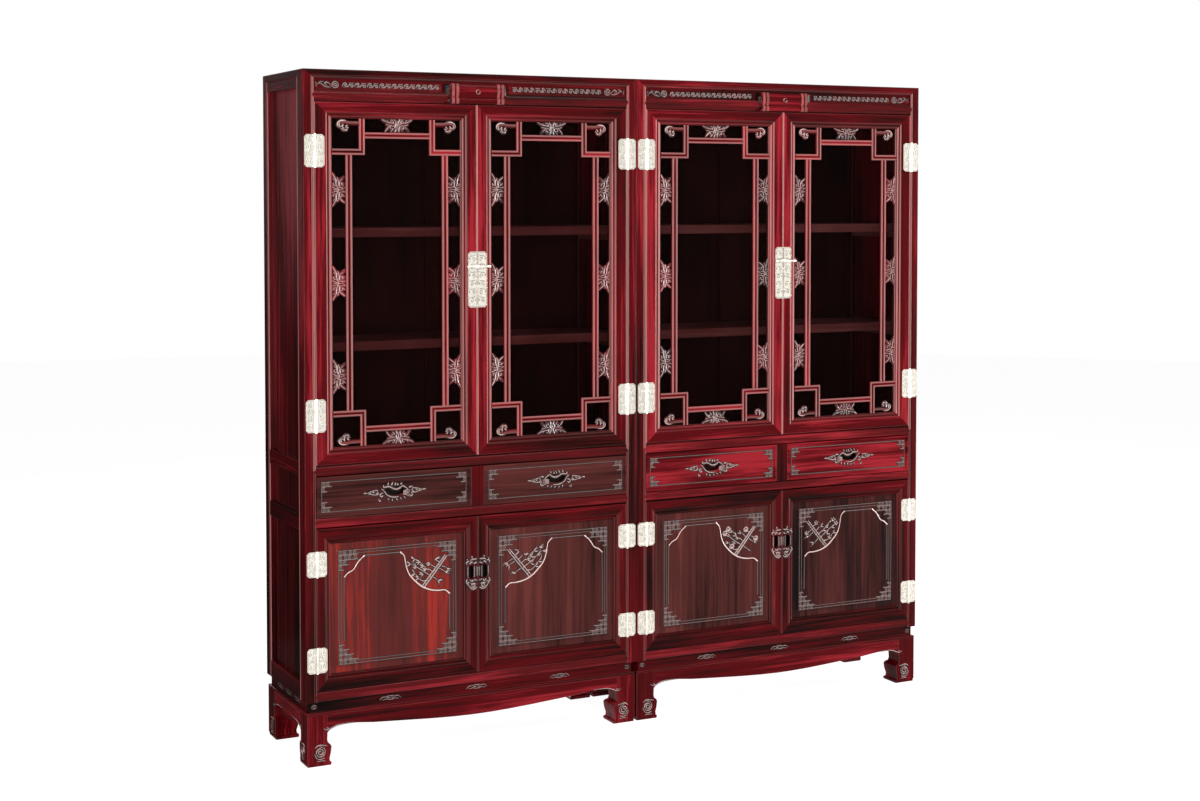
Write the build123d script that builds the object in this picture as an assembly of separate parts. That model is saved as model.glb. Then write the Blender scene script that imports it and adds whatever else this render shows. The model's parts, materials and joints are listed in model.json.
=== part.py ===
"""A pair of glazed hardwood book cabinets that stand side by side on low footed stands.

Millimetres, +Z up. X runs along the pair, -Y is the front, and the origin is the middle of the
ground that the pair covers. Every piece is drawn in the coordinates of one cabinet, where x runs
from its left side, y from the front plane of its posts and z from the floor, and is then placed.
"""
from build123d import *
from math import cos, pi, sin
import os

# ---- overall sizes ----
UNIT_WIDTH = 1100.0
UNIT_COUNT = 2
DEPTH = 400.0
HEIGHT = 2060.0
UNIT_NAMES = ("left_unit", "right_unit")

# ---- carcass ----
POST_WIDTH = 35.0
FRONT_POST_DEPTH = 60.0
BACK_POST_DEPTH = 50.0
POST_ROUND = 4.0
POST_BEAD_WIDTH = 9.5
POST_BEAD_DEPTH = 2.4
POST_BEAD_GROOVE = 2.0
RAIL_POINT = 7.0
CARCASS_BOTTOM = 193.0
RAIL_DEPTH = 27.0
RAIL_SWELL = 5.0
TOP_FRAME_HEIGHT = 26.0
TOP_PANEL_DROP = 8.0
TOP_PANEL_THICKNESS = 12.0
PANEL_THICKNESS = 8.0
SIDE_PANEL_SET_BACK = 12.0
BACK_RAIL_DEPTH = 28.0
BACK_PANEL_SET_BACK = 10.0
BACK_MUNTIN_WIDTH = 44.0
DECK_THICKNESS = 16.0
DOOR_STOP = 8.0

# heights of the rails on the front, each from its lower to its upper edge
BOTTOM_RAIL = (193.0, 222.0)
DRAWER_SILL = (709.0, 739.0)
DOOR_SILL = (862.0, 893.0)
CORNICE_BEAM = (1967.0, 2002.0)
FRIEZE = (2002.0, 2034.0)
# heights of the rails on the sides and the back
SIDE_RAILS = ((193.0, 245.0), (700.0, 745.0), (862.0, 905.0), (2006.0, 2034.0))

FRIEZE_SET_BACK = 6.0
FRIEZE_THICKNESS = 18.0
SCROLL_BLOCK_WIDTH = 228.0
SCROLL_BLOCK = (1969.0, 2027.0)
SCROLL_BLOCK_PROUD = 8.0
SCROLL_BLOCK_SLANT = 25.0
SCROLL_SEAM = 1987.0
SCROLL_SEAM_DEPTH = 4.0

SHELVES = ((1223.0, 1251.0), (1565.0, 1593.0))
SHELF_FRONT = 80.0
SHELF_BACK = 345.0
BEARER_WIDTH = 15.0
BEARER_HEIGHT = 20.0

# ---- doors ----
DOOR_THICKNESS = 25.0
GLASS_DOOR = (895.0, 1965.0)
WOOD_DOOR = (224.0, 707.0)
DOOR_SIDE_GAP = 0.6
SEAM_GAP = 1.2
GLASS_DOOR_MEMBERS = {"hinge": 55.0, "meeting": 50.0, "top": 48.0, "bottom": 51.0}
WOOD_DOOR_MEMBERS = {"hinge": 43.0, "meeting": 46.0, "top": 47.0, "bottom": 48.0}
GROOVE_DEPTH = 8.0
GLASS_FRONT = 14.0
GLASS_THICKNESS = 4.0
TONGUE_FRONT = 12.0
TONGUE_THICKNESS = 6.0
FIELD_FRONT = 5.0
FIELD_MARGIN = 20.0
FIELD_BEVEL = 6.0

# moulded section of the door members: where each form ends, as a share of the member's width
GLASS_DOOR_SHARES = {"edge": 0.045, "flat": 0.44, "fall": 0.74, "recess": 0.81, "bead": 0.95}
WOOD_DOOR_SHARES = {"edge": 0.055, "flat": 0.52, "fall": 0.79, "recess": 0.85, "bead": 0.96}
EDGE_ROUND = 2.4
RECESS_DEPTH = 7.6
BEAD_CREST = 4.4
LIP_DEPTH = 8.6
ARC_STEPS = 6

# ---- lattice in front of the glass ----
BAR_FRONT = 4.0
BAR_WIDTH = 18.0
BAR_SHOULDER = 8.0
BAR_HOLLOW = 6.2
BAR_BEAD_SHARE = 0.34
INNER_ROD_WIDTH = 20.0
CORNER_SQUARE_WIDTH = 102.0
CORNER_SQUARE_HEIGHT = 107.0
ROD_INSET_SIDE = 52.0
ROD_INSET_END = 58.0
HOOK_BAR_INSET = 13.0
HOOK_BAR_WIDTH = 13.0
CURL_INSET = 36.0
CURL_RADIUS = 21.0
SPACER_HEIGHT = 98.0
SPACER_WAIST = 22.0
SPACER_SPACING = 276.0
TOP_SPACER_WIDTH = 94.0

# ---- brass ----
PLATE_THICKNESS = 2.5
PLATE_NOTCH = 7.0
HINGE_PLATE_WIDTH = 30.6
GLASS_DOOR_HINGES = ((994.0, 1091.0), (1773.0, 1869.0))
WOOD_DOOR_HINGES = ((280.0, 355.0), (566.0, 641.0))
HINGE_STAND_OFF = 4.0
BARREL_RADIUS = 3.9
BARREL_RELIEF = 4.4
BARREL_PLAY = 0.3
PIN_RADIUS = 1.5
PIN_BORE_RADIUS = 1.55
PIN_HEAD_RADIUS = 3.6
PIN_HEAD_HEIGHT = 2.0
LOCK_PLATE_WIDTH = 31.0
LOCK_PLATE = (1349.0, 1519.0)
LOCK_BAR_HEIGHT = 1474.0
LOCK_BAR_STAND_OFF = 14.0
LOCK_BAR_RADIUS = 3.6
LOCK_BAR_HALF = 41.0
LOCK_KNOB_RADIUS = 5.4
LOCK_SWELL_RADIUS = 8.5
LOCK_POST_RADIUS = 3.2
LOCK_POST_OFFSET = 24.0

# ---- drawers ----
DIVIDER_WIDTH = 42.0
DRAWER_GAP = 0.9
DRAWER_FRONT_THICKNESS = 20.0
DRAWER_RIM = 6.0
DRAWER_SINK = 3.0
DRAWER_SIDE_INSET = 8.0
DRAWER_BOARD = 10.0
DRAWER_BOTTOM = 6.0
DRAWER_BACK = 330.0
DRAWER_SIDE = (742.0, 846.0)
RUNNER_PLAY = 0.4
RUNNER_WIDTH = 19.0
GUIDE_TOP = 765.0
PARTITION_THICKNESS = 12.0
PULL_WIDTH = 64.0
PULL_HEIGHT = 27.0
PULL_HEIGHT_ABOVE_FLOOR = 805.0
PULL_DEPTH = 10.0
DOOR_PULL_WIDTH = 16.0
DOOR_PULL_HEIGHT = 40.0
DOOR_PULL_MIDDLE = 537.0
DOOR_PULL_OFFSET = 23.0
DOOR_PULL_DEPTH = 9.0

# ---- stand ----
STAND_INSET = 4.0
WAIST_INSET = 12.0
WAIST_THICKNESS = 18.0
WAIST_BOTTOM = 160.0
LIP_BOTTOM = 152.0
LIP_WIDTH = 60.0
APRON_THICKNESS = 22.0
APRON_MIDDLE = 100.0
APRON_HAUNCH = 120.0
APRON_EAR_BOTTOM = 99.0
APRON_EAR_REACH = 48.0
LEG_WIDTH = 63.0
HOOF_WIDTH = 75.0
HOOF_TOP = 62.0
HOOF_WAIST = 69.0
PLINTH_HEIGHT = 10.0

# ---- places worked out from the sizes above ----
FRONT_REACH = LOCK_BAR_STAND_OFF + LOCK_SWELL_RADIUS
FRONT_Y = (FRONT_REACH - DEPTH) / 2
MIDDLE = UNIT_WIDTH / 2
UNIT_X = [(index - UNIT_COUNT / 2) * UNIT_WIDTH for index in range(UNIT_COUNT)]
RIGHT_POST = UNIT_WIDTH - POST_WIDTH
BACK_POST_FRONT = DEPTH - BACK_POST_DEPTH
BACK_RAIL_FRONT = DEPTH - BACK_RAIL_DEPTH
TOP_FRAME_BOTTOM = HEIGHT - TOP_FRAME_HEIGHT
DIVIDER_LEFT = MIDDLE - DIVIDER_WIDTH / 2
DOOR_LEFT = POST_WIDTH + DOOR_SIDE_GAP
DOOR_RIGHT = MIDDLE - SEAM_GAP / 2
SIDE_PANEL_INNER = SIDE_PANEL_SET_BACK + PANEL_THICKNESS


def block(x0, x1, y0, y1, z0, z1):
    """Box between two corners."""
    place = Pos((x0 + x1) / 2, (y0 + y1) / 2, (z0 + z1) / 2)
    return place * Box(x1 - x0, y1 - y0, z1 - z0)


def prism_x(outline, x0, x1):
    """Solid with an outline of (y, z) points, from x0 to x1."""
    face = make_face(Polyline(*[(x0, y, z) for y, z in outline], close=True))
    return extrude(face, amount=x1 - x0, dir=(1, 0, 0))


def prism_y(outline, y0, y1):
    """Solid with an outline of (x, z) points, from y0 to y1."""
    face = make_face(Polyline(*[(x, y0, z) for x, z in outline], close=True))
    return extrude(face, amount=y1 - y0, dir=(0, 1, 0))


def prism_z(outline, z0, z1):
    """Solid with an outline of (x, y) points, from z0 to z1."""
    face = make_face(Polyline(*[(x, y, z0) for x, y in outline], close=True))
    return extrude(face, amount=z1 - z0, dir=(0, 0, 1))


def upright_cylinder(x, y, z0, z1, radius):
    """Cylinder along Z."""
    return Pos(x, y, (z0 + z1) / 2) * Cylinder(radius, z1 - z0)


def across(piece):
    """Mirror image of a piece in the cabinet's middle plane."""
    return mirror(piece, about=Plane.YZ.offset(MIDDLE))


def both_sides(pieces):
    """Pieces with their mirror images."""
    return list(pieces) + [across(piece) for piece in pieces]


def bead(start, end, base, crest):
    """Half-round bead across a section, as (place, depth) points from start to end."""
    half = (end - start) / 2
    turns = [pi * step / ARC_STEPS for step in range(ARC_STEPS + 1)]
    return [(start + half * (1 - cos(turn)), base + (crest - base) * sin(turn)) for turn in turns]


def quarter_round(start, end, high, low):
    """Quarter-round that leaves the surface flat at start and drops steeply at end."""
    turns = [pi / 2 * step / ARC_STEPS for step in range(ARC_STEPS + 1)]
    return [(start + (end - start) * sin(turn), high + (low - high) * (1 - cos(turn))) for turn in turns]


def pointed_rail(low, high):
    """Rail whose front swells forward, with a pointed shoulder over the post's bead at both ends."""
    start, end = POST_WIDTH - RAIL_POINT, RIGHT_POST + RAIL_POINT
    middle = (low + high) / 2
    front = ThreePointArc((start, RAIL_SWELL, low), (start, 0, middle), (start, RAIL_SWELL, high))
    rest = Polyline((start, RAIL_SWELL, high), (start, RAIL_DEPTH, high), (start, RAIL_DEPTH, low),
                    (start, RAIL_SWELL, low))
    rail = extrude(make_face(front + rest), amount=end - start, dir=(1, 0, 0))
    outline = ((start, middle), (POST_WIDTH, low), (RIGHT_POST, low), (end, middle), (RIGHT_POST, high),
               (POST_WIDTH, high))
    return rail & prism_y(outline, 0, RAIL_DEPTH)


# ---- carcass ----

def post_face(width):
    """Section of one outer face of a post from its corner inwards: a flat, a groove and a bead."""
    start = width - POST_BEAD_WIDTH
    turns = [pi / 2 * step / ARC_STEPS for step in range(ARC_STEPS + 1)]
    corner = [(POST_ROUND * (1 - cos(turn)), POST_ROUND * (1 - sin(turn))) for turn in turns]
    return corner + [(start - POST_BEAD_GROOVE, 0)] + bead(start, width, POST_BEAD_DEPTH, 0)


def corner_post(left, front):
    """Post with a bead on both outer faces, whose top is cut to a three-way mitre with the top frame."""
    depth = FRONT_POST_DEPTH if front else BACK_POST_DEPTH
    low = CARCASS_BOTTOM
    side_face = [(sunk, along) for along, sunk in post_face(depth)]
    outline = list(reversed(side_face)) + post_face(POST_WIDTH)[1:] + [(POST_WIDTH, depth)]
    post = prism_z(outline, low, HEIGHT)
    post &= prism_y(((0, low), (POST_WIDTH, low), (POST_WIDTH, TOP_FRAME_BOTTOM), (0, HEIGHT)), 0, depth)
    post &= prism_x(((0, low), (depth, low), (depth, TOP_FRAME_BOTTOM), (0, HEIGHT)), 0, POST_WIDTH)
    if front:
        for rail in front_rails():
            post -= rail
    else:
        post = Pos(0, DEPTH, 0) * mirror(post, about=Plane.XZ)
    return post if left else across(post)


def corner_posts():
    return [corner_post(left, front) for left in (True, False) for front in (True, False)]


def top_member_face(post_width):
    """Section of a top member's outer face, as (depth, height), that runs on from the post's face."""
    fit = TOP_FRAME_HEIGHT / post_width
    return [(sunk, HEIGHT - along * fit) for along, sunk in post_face(post_width)]


def top_frame():
    """Mitred frame of four members, cut under its corners to take the posts."""
    low, high = TOP_FRAME_BOTTOM, HEIGHT
    inner_right = UNIT_WIDTH - POST_WIDTH
    front_outline = ((0, 0), (UNIT_WIDTH, 0), (inner_right, FRONT_POST_DEPTH),
                     (POST_WIDTH, FRONT_POST_DEPTH))
    back_outline = ((0, DEPTH), (POST_WIDTH, BACK_POST_FRONT), (inner_right, BACK_POST_FRONT),
                    (UNIT_WIDTH, DEPTH))
    left_outline = ((0, 0), (POST_WIDTH, FRONT_POST_DEPTH), (POST_WIDTH, BACK_POST_FRONT), (0, DEPTH))
    end_cut = ((0, high), (POST_WIDTH, low), (inner_right, low), (UNIT_WIDTH, high))
    side_cut = ((0, high), (FRONT_POST_DEPTH, low), (BACK_POST_FRONT, low), (DEPTH, high))
    front_section = top_member_face(POST_WIDTH) + [(FRONT_POST_DEPTH, low), (FRONT_POST_DEPTH, high)]
    back_section = [(DEPTH - sunk, z) for sunk, z in top_member_face(POST_WIDTH)]
    back_section += [(BACK_POST_FRONT, low), (BACK_POST_FRONT, high)]
    side_section = top_member_face(FRONT_POST_DEPTH) + [(POST_WIDTH, low), (POST_WIDTH, high)]
    front = prism_x(front_section, 0, UNIT_WIDTH)
    front = front & prism_z(front_outline, low, high) & prism_y(end_cut, 0, DEPTH)
    back = prism_x(back_section, 0, UNIT_WIDTH)
    back = back & prism_z(back_outline, low, high) & prism_y(end_cut, 0, DEPTH)
    left = prism_y(side_section, 0, DEPTH)
    left = left & prism_z(left_outline, low, high) & prism_x(side_cut, 0, POST_WIDTH)
    return [front, back, left, across(left)]


def top_panel():
    top = HEIGHT - TOP_PANEL_DROP
    return [block(POST_WIDTH, RIGHT_POST, FRONT_POST_DEPTH, BACK_POST_FRONT, top - TOP_PANEL_THICKNESS, top)]


def front_rails():
    """Bottom rail, drawer sill, door sill and cornice beam."""
    rails = (BOTTOM_RAIL, DRAWER_SILL, DOOR_SILL, CORNICE_BEAM)
    return [pointed_rail(low, high) for low, high in rails]


def frieze_board():
    back = FRIEZE_SET_BACK + FRIEZE_THICKNESS
    return [block(POST_WIDTH, RIGHT_POST, FRIEZE_SET_BACK, back, *FRIEZE)]


def scroll_block():
    """Block like a rolled scroll on the middle of the cornice: a large roll over a small one, with
    slanted ends, scribed over the beam."""
    low, high = SCROLL_BLOCK
    left = MIDDLE - SCROLL_BLOCK_WIDTH / 2
    right = MIDDLE + SCROLL_BLOCK_WIDTH / 2
    back, face = FRIEZE_SET_BACK, -SCROLL_BLOCK_PROUD
    seam = face + SCROLL_SEAM_DEPTH
    section = [(back, high)] + [(depth, z) for z, depth in bead(high, SCROLL_SEAM, seam, face)]
    section += [(depth, z) for z, depth in bead(SCROLL_SEAM, low, seam, face)[1:]] + [(back, low)]
    plan = ((left, back), (left + SCROLL_BLOCK_SLANT, face), (right - SCROLL_BLOCK_SLANT, face),
            (right, back))
    piece = prism_x(section, left, right) & prism_z(plan, low, high)
    return [piece - pointed_rail(*CORNICE_BEAM)]


def side_rails():
    rails = [block(0, POST_WIDTH, FRONT_POST_DEPTH, BACK_POST_FRONT, low, high) for low, high in SIDE_RAILS]
    return both_sides(rails)


def panel_bays():
    """Heights between one side or back rail and the next."""
    return [(lower[1], upper[0]) for lower, upper in zip(SIDE_RAILS, SIDE_RAILS[1:])]


def side_panels():
    outer, inner = SIDE_PANEL_SET_BACK, SIDE_PANEL_INNER
    panels = [block(outer, inner, FRONT_POST_DEPTH, BACK_POST_FRONT, low, high) for low, high in panel_bays()]
    return both_sides(panels)


def back_rails():
    """Rails between the back posts, with a muntin in the middle of each bay."""
    rails = [block(POST_WIDTH, RIGHT_POST, BACK_RAIL_FRONT, DEPTH, low, high) for low, high in SIDE_RAILS]
    half = BACK_MUNTIN_WIDTH / 2
    muntins = [block(MIDDLE - half, MIDDLE + half, BACK_RAIL_FRONT, DEPTH, low, high)
               for low, high in panel_bays()]
    return rails + muntins


def back_panels():
    back = DEPTH - BACK_PANEL_SET_BACK
    edge = MIDDLE - BACK_MUNTIN_WIDTH / 2
    panels = [block(POST_WIDTH, edge, back - PANEL_THICKNESS, back, low, high) for low, high in panel_bays()]
    return both_sides(panels)


def deck(top):
    """Floor board of one compartment, between the rails and up to the back."""
    return block(POST_WIDTH, RIGHT_POST, RAIL_DEPTH, BACK_RAIL_FRONT, top - DECK_THICKNESS, top)


def deck_tops():
    return (BOTTOM_RAIL[1] + DOOR_STOP, DRAWER_SILL[1] - DOOR_STOP, DOOR_SILL[1] + DOOR_STOP)


def decks():
    """The two upper edges stand proud of their rails and stop the doors."""
    return [deck(top) for top in deck_tops()]


def shelves():
    """Two shelves, each with a bearer under both ends."""
    pieces = []
    right = UNIT_WIDTH - SIDE_PANEL_INNER
    for low, high in SHELVES:
        pieces.append(block(SIDE_PANEL_INNER, right, SHELF_FRONT, SHELF_BACK, low, high))
        bearer = block(SIDE_PANEL_INNER, SIDE_PANEL_INNER + BEARER_WIDTH, SHELF_FRONT, SHELF_BACK,
                       low - BEARER_HEIGHT, low)
        pieces += both_sides([bearer])
    return pieces


def drawer_dividers():
    """Short post between the drawer fronts and the partition board behind it."""
    right = MIDDLE + DIVIDER_WIDTH / 2
    post = block(DIVIDER_LEFT, right, 0, RAIL_DEPTH, DRAWER_SILL[1], DOOR_SILL[0])
    half = PARTITION_THICKNESS / 2
    deck_low, deck_high = deck_tops()[1], deck_tops()[2] - DECK_THICKNESS
    partition = block(MIDDLE - half, MIDDLE + half, RAIL_DEPTH, BACK_RAIL_FRONT, deck_low, deck_high)
    return [post, partition]


def drawer_runners():
    """Angle-shaped runner beside each drawer side: it carries the side and guides it."""
    low = deck_tops()[1]
    step = DRAWER_SIDE[0] - RUNNER_PLAY
    outer_guide = DOOR_LEFT + DRAWER_SIDE_INSET - DRAWER_GAP
    outer = ((POST_WIDTH, low), (POST_WIDTH + RUNNER_WIDTH, low), (POST_WIDTH + RUNNER_WIDTH, step),
             (outer_guide, step), (outer_guide, GUIDE_TOP), (POST_WIDTH, GUIDE_TOP))
    wall = MIDDLE - PARTITION_THICKNESS / 2
    inner_guide = DIVIDER_LEFT - DRAWER_SIDE_INSET + DRAWER_GAP
    inner_edge = inner_guide - RUNNER_WIDTH + DRAWER_SIDE_INSET
    inner = ((wall, low), (inner_edge, low), (inner_edge, step), (inner_guide, step),
             (inner_guide, GUIDE_TOP), (wall, GUIDE_TOP))
    runners = [prism_y(outline, RAIL_DEPTH, BACK_RAIL_FRONT) for outline in (outer, inner)]
    return both_sides(runners)


# ---- stand ----

def waist_boards():
    """Boards set back under the carcass."""
    low, high = WAIST_BOTTOM, CARCASS_BOTTOM
    outer, inner = WAIST_INSET, WAIST_INSET + WAIST_THICKNESS
    right = UNIT_WIDTH - outer
    front = block(outer, right, outer, inner, low, high)
    back = block(outer, right, DEPTH - inner, DEPTH - outer, low, high)
    side = block(outer, inner, inner, DEPTH - inner, low, high)
    return [front, back] + both_sides([side])


def stand_top_frame():
    """Flat mitred frame whose edge shows as a lip above the aprons."""
    low, high = LIP_BOTTOM, WAIST_BOTTOM
    near, far = STAND_INSET, DEPTH - STAND_INSET
    left, right = STAND_INSET, UNIT_WIDTH - STAND_INSET
    width = LIP_WIDTH
    front = ((left, near), (right, near), (right - width, near + width), (left + width, near + width))
    back = ((left, far), (left + width, far - width), (right - width, far - width), (right, far))
    side = ((left, near), (left + width, near + width), (left + width, far - width), (left, far))
    return [prism_z(front, low, high), prism_z(back, low, high)] + both_sides([prism_z(side, low, high)])


def leg_outline():
    """Outline of a hoof-footed leg, as (distance from the outer corner, height)."""
    return ((2, 0), (HOOF_WIDTH - 1, 0), (HOOF_WIDTH + 1, PLINTH_HEIGHT - 2),
            (HOOF_WAIST + 1, PLINTH_HEIGHT + 2), (HOOF_WAIST, 22), (HOOF_WIDTH - 2, 38),
            (HOOF_WIDTH, HOOF_TOP - 6), (HOOF_WIDTH - 3, HOOF_TOP), (LEG_WIDTH + 1, HOOF_TOP + 6),
            (LEG_WIDTH - 1, HOOF_TOP + 16), (LEG_WIDTH, APRON_EAR_BOTTOM), (LEG_WIDTH, LIP_BOTTOM),
            (0, LIP_BOTTOM), (0, PLINTH_HEIGHT), (2, PLINTH_HEIGHT - 3))


def stand_legs():
    """Legs with the same curved outline on both faces."""
    reach = HOOF_WIDTH + 2
    outline = [(STAND_INSET + run, z) for run, z in leg_outline()]
    front = prism_y(outline, STAND_INSET, STAND_INSET + reach)
    front &= prism_x(outline, STAND_INSET, STAND_INSET + reach)
    back = Pos(0, DEPTH, 0) * mirror(front, about=Plane.XZ)
    return both_sides([front, back])


def apron(start, end):
    """Outline of an apron between two legs, with a curved ear at each end."""
    middle = (start + end) / 2
    ear = start + APRON_EAR_REACH
    far_ear = end - APRON_EAR_REACH
    bend = (start + APRON_EAR_REACH * 0.42, APRON_HAUNCH - 5)
    far_bend = (end - APRON_EAR_REACH * 0.42, APRON_HAUNCH - 5)
    rise = (APRON_MIDDLE + APRON_HAUNCH) / 2
    third = (middle - ear) / 3
    lower = Spline((ear, APRON_HAUNCH), (ear + third, rise + 4), (middle, APRON_MIDDLE),
                   (far_ear - third, rise + 4), (far_ear, APRON_HAUNCH), tangents=((1, 0), (1, 0)))
    return (ThreePointArc((start, APRON_EAR_BOTTOM), bend, (ear, APRON_HAUNCH)) + lower
            + ThreePointArc((far_ear, APRON_HAUNCH), far_bend, (end, APRON_EAR_BOTTOM))
            + Polyline((end, APRON_EAR_BOTTOM), (end, LIP_BOTTOM), (start, LIP_BOTTOM),
                       (start, APRON_EAR_BOTTOM)))


def stand_aprons():
    inner = STAND_INSET + LEG_WIDTH
    front_face = make_face(apron(inner, UNIT_WIDTH - inner))
    front_face = Plane((0, STAND_INSET, 0), x_dir=(1, 0, 0), z_dir=(0, -1, 0)) * front_face
    front = extrude(front_face, amount=APRON_THICKNESS, dir=(0, 1, 0))
    back = Pos(0, DEPTH, 0) * mirror(front, about=Plane.XZ)
    side_face = make_face(apron(inner, DEPTH - inner))
    side_face = Plane((STAND_INSET, 0, 0), x_dir=(0, 1, 0), z_dir=(1, 0, 0)) * side_face
    side = extrude(side_face, amount=APRON_THICKNESS, dir=(1, 0, 0))
    return [front, back] + both_sides([side])


# ---- doors ----

def member_section(shares, width, groove_front, groove_thickness):
    """Closed outline of one door member, as (distance from the outer edge, depth)."""
    edge, flat, fall, recess, bead_end = (shares[name] * width for name in
                                          ("edge", "flat", "fall", "recess", "bead"))
    front = [(edge * (1 - cos(turn)), EDGE_ROUND * (1 - sin(turn))) for turn in (0, pi / 6, pi / 3, pi / 2)]
    front += quarter_round(flat, fall, 0, RECESS_DEPTH)
    front += bead(recess, bead_end, RECESS_DEPTH, BEAD_CREST)
    front.append((width, LIP_DEPTH))
    groove_back = groove_front + groove_thickness
    groove = [(width, groove_front), (width - GROOVE_DEPTH, groove_front),
              (width - GROOVE_DEPTH, groove_back), (width, groove_back)]
    return front + groove + [(width, DOOR_THICKNESS), (0, DOOR_THICKNESS)]


def door_frame(span, members, shares, groove_front, groove_thickness):
    """Four mitred members of a left-hand door: hinge stile, meeting stile, top rail, bottom rail."""
    left, right = DOOR_LEFT, DOOR_RIGHT
    low, high = span
    hinge, meeting, top, bottom = (members[name] for name in ("hinge", "meeting", "top", "bottom"))
    inner = (left + hinge, right - meeting, low + bottom, high - top)
    corners = {"outer_low_left": (left, low), "outer_low_right": (right, low),
               "outer_high_left": (left, high), "outer_high_right": (right, high),
               "inner_low_left": (inner[0], inner[2]), "inner_low_right": (inner[1], inner[2]),
               "inner_high_left": (inner[0], inner[3]), "inner_high_right": (inner[1], inner[3])}

    def mitre(*names):
        return prism_y([corners[name] for name in names], 0, DOOR_THICKNESS)

    def shape(width):
        return member_section(shares, width, groove_front, groove_thickness)

    hinge_stile = prism_z([(left + run, depth) for run, depth in shape(hinge)], low, high)
    hinge_stile &= mitre("outer_low_left", "inner_low_left", "inner_high_left", "outer_high_left")
    meeting_stile = prism_z([(right - run, depth) for run, depth in shape(meeting)], low, high)
    meeting_stile &= mitre("outer_low_right", "outer_high_right", "inner_high_right", "inner_low_right")
    top_rail = prism_x([(depth, high - run) for run, depth in shape(top)], left, right)
    top_rail &= mitre("outer_high_left", "inner_high_left", "inner_high_right", "outer_high_right")
    bottom_rail = prism_x([(depth, low + run) for run, depth in shape(bottom)], left, right)
    bottom_rail &= mitre("outer_low_left", "outer_low_right", "inner_low_right", "inner_low_left")
    return [hinge_stile, meeting_stile, top_rail, bottom_rail]


def daylight(span, members):
    """Opening inside a left-hand door frame: left, right, lowest and highest."""
    return (DOOR_LEFT + members["hinge"], DOOR_RIGHT - members["meeting"],
            span[0] + members["bottom"], span[1] - members["top"])


def glass_door_frame():
    return door_frame(GLASS_DOOR, GLASS_DOOR_MEMBERS, GLASS_DOOR_SHARES, GLASS_FRONT, GLASS_THICKNESS)


def glass_pane():
    left, right, low, high = daylight(GLASS_DOOR, GLASS_DOOR_MEMBERS)
    lap = GROOVE_DEPTH - 1
    return [block(left - lap, right + lap, GLASS_FRONT, GLASS_FRONT + GLASS_THICKNESS, low - lap, high + lap)]


def wood_door_frame():
    """Frame with a finger hollow cut in the face of the meeting stile."""
    members = door_frame(WOOD_DOOR, WOOD_DOOR_MEMBERS, WOOD_DOOR_SHARES, TONGUE_FRONT, TONGUE_THICKNESS)
    middle = MIDDLE - DOOR_PULL_OFFSET
    slot = SlotOverall(DOOR_PULL_HEIGHT, DOOR_PULL_WIDTH, rotation=90)
    slot = Plane((middle, 0, DOOR_PULL_MIDDLE), x_dir=(1, 0, 0), z_dir=(0, -1, 0)) * slot
    members[1] -= extrude(slot, amount=DOOR_PULL_DEPTH, dir=(0, 1, 0))
    return members


def wood_door_panel():
    """Panel with a tongue all round and a bevelled field in the middle."""
    left, right, low, high = daylight(WOOD_DOOR, WOOD_DOOR_MEMBERS)
    lap = GROOVE_DEPTH - 1
    tongue_back = TONGUE_FRONT + TONGUE_THICKNESS
    panel = block(left - lap, right + lap, TONGUE_FRONT, tongue_back, low - lap, high + lap)
    width = right - left - 2 * FIELD_MARGIN
    height = high - low - 2 * FIELD_MARGIN
    back = Plane(((left + right) / 2, TONGUE_FRONT, (low + high) / 2), x_dir=(1, 0, 0), z_dir=(0, -1, 0))
    rise = TONGUE_FRONT - FIELD_FRONT
    base = back * Rectangle(width, height)
    crown = back.offset(rise) * Rectangle(width - 2 * FIELD_BEVEL, height - 2 * FIELD_BEVEL)
    return [panel + loft([base.face(), crown.face()])]


# ---- lattice ----

def lattice_bar(x0, x1, z0, z1):
    """Bar with a bead along both front edges and a shallow hollow between them."""
    level = x1 - x0 > z1 - z0
    low, high = (z0, z1) if level else (x0, x1)
    reach = BAR_BEAD_SHARE * (high - low)
    front = [(low, GLASS_FRONT), (low, BAR_SHOULDER)] + bead(low, low + reach, BAR_HOLLOW, BAR_FRONT)
    front += bead(high - reach, high, BAR_HOLLOW, BAR_FRONT) + [(high, BAR_SHOULDER), (high, GLASS_FRONT)]
    if level:
        return prism_x([(depth, z) for z, depth in front], x0, x1)
    return prism_z(front, z0, z1)


def spacer(x0, x1, z0, z1, upright):
    """Carved spacer with a drawn-in waist, simplified to its outline."""
    middle_x, middle_z = (x0 + x1) / 2, (z0 + z1) / 2
    half = SPACER_WAIST / 2
    if upright:
        outline = ((x0, z0), (x1, z0), (middle_x + half, middle_z - half), (middle_x + half, middle_z + half),
                   (x1, z1), (x0, z1), (middle_x - half, middle_z + half), (middle_x - half, middle_z - half))
    else:
        third = (x1 - x0) / 4
        outline = ((x0, z0), (x1, z0), (middle_x + third, middle_z), (x1 - third / 2, z1),
                   (x0 + third / 2, z1), (middle_x - third, middle_z))
    return prism_y(outline, BAR_FRONT + 1, GLASS_FRONT)


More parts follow.
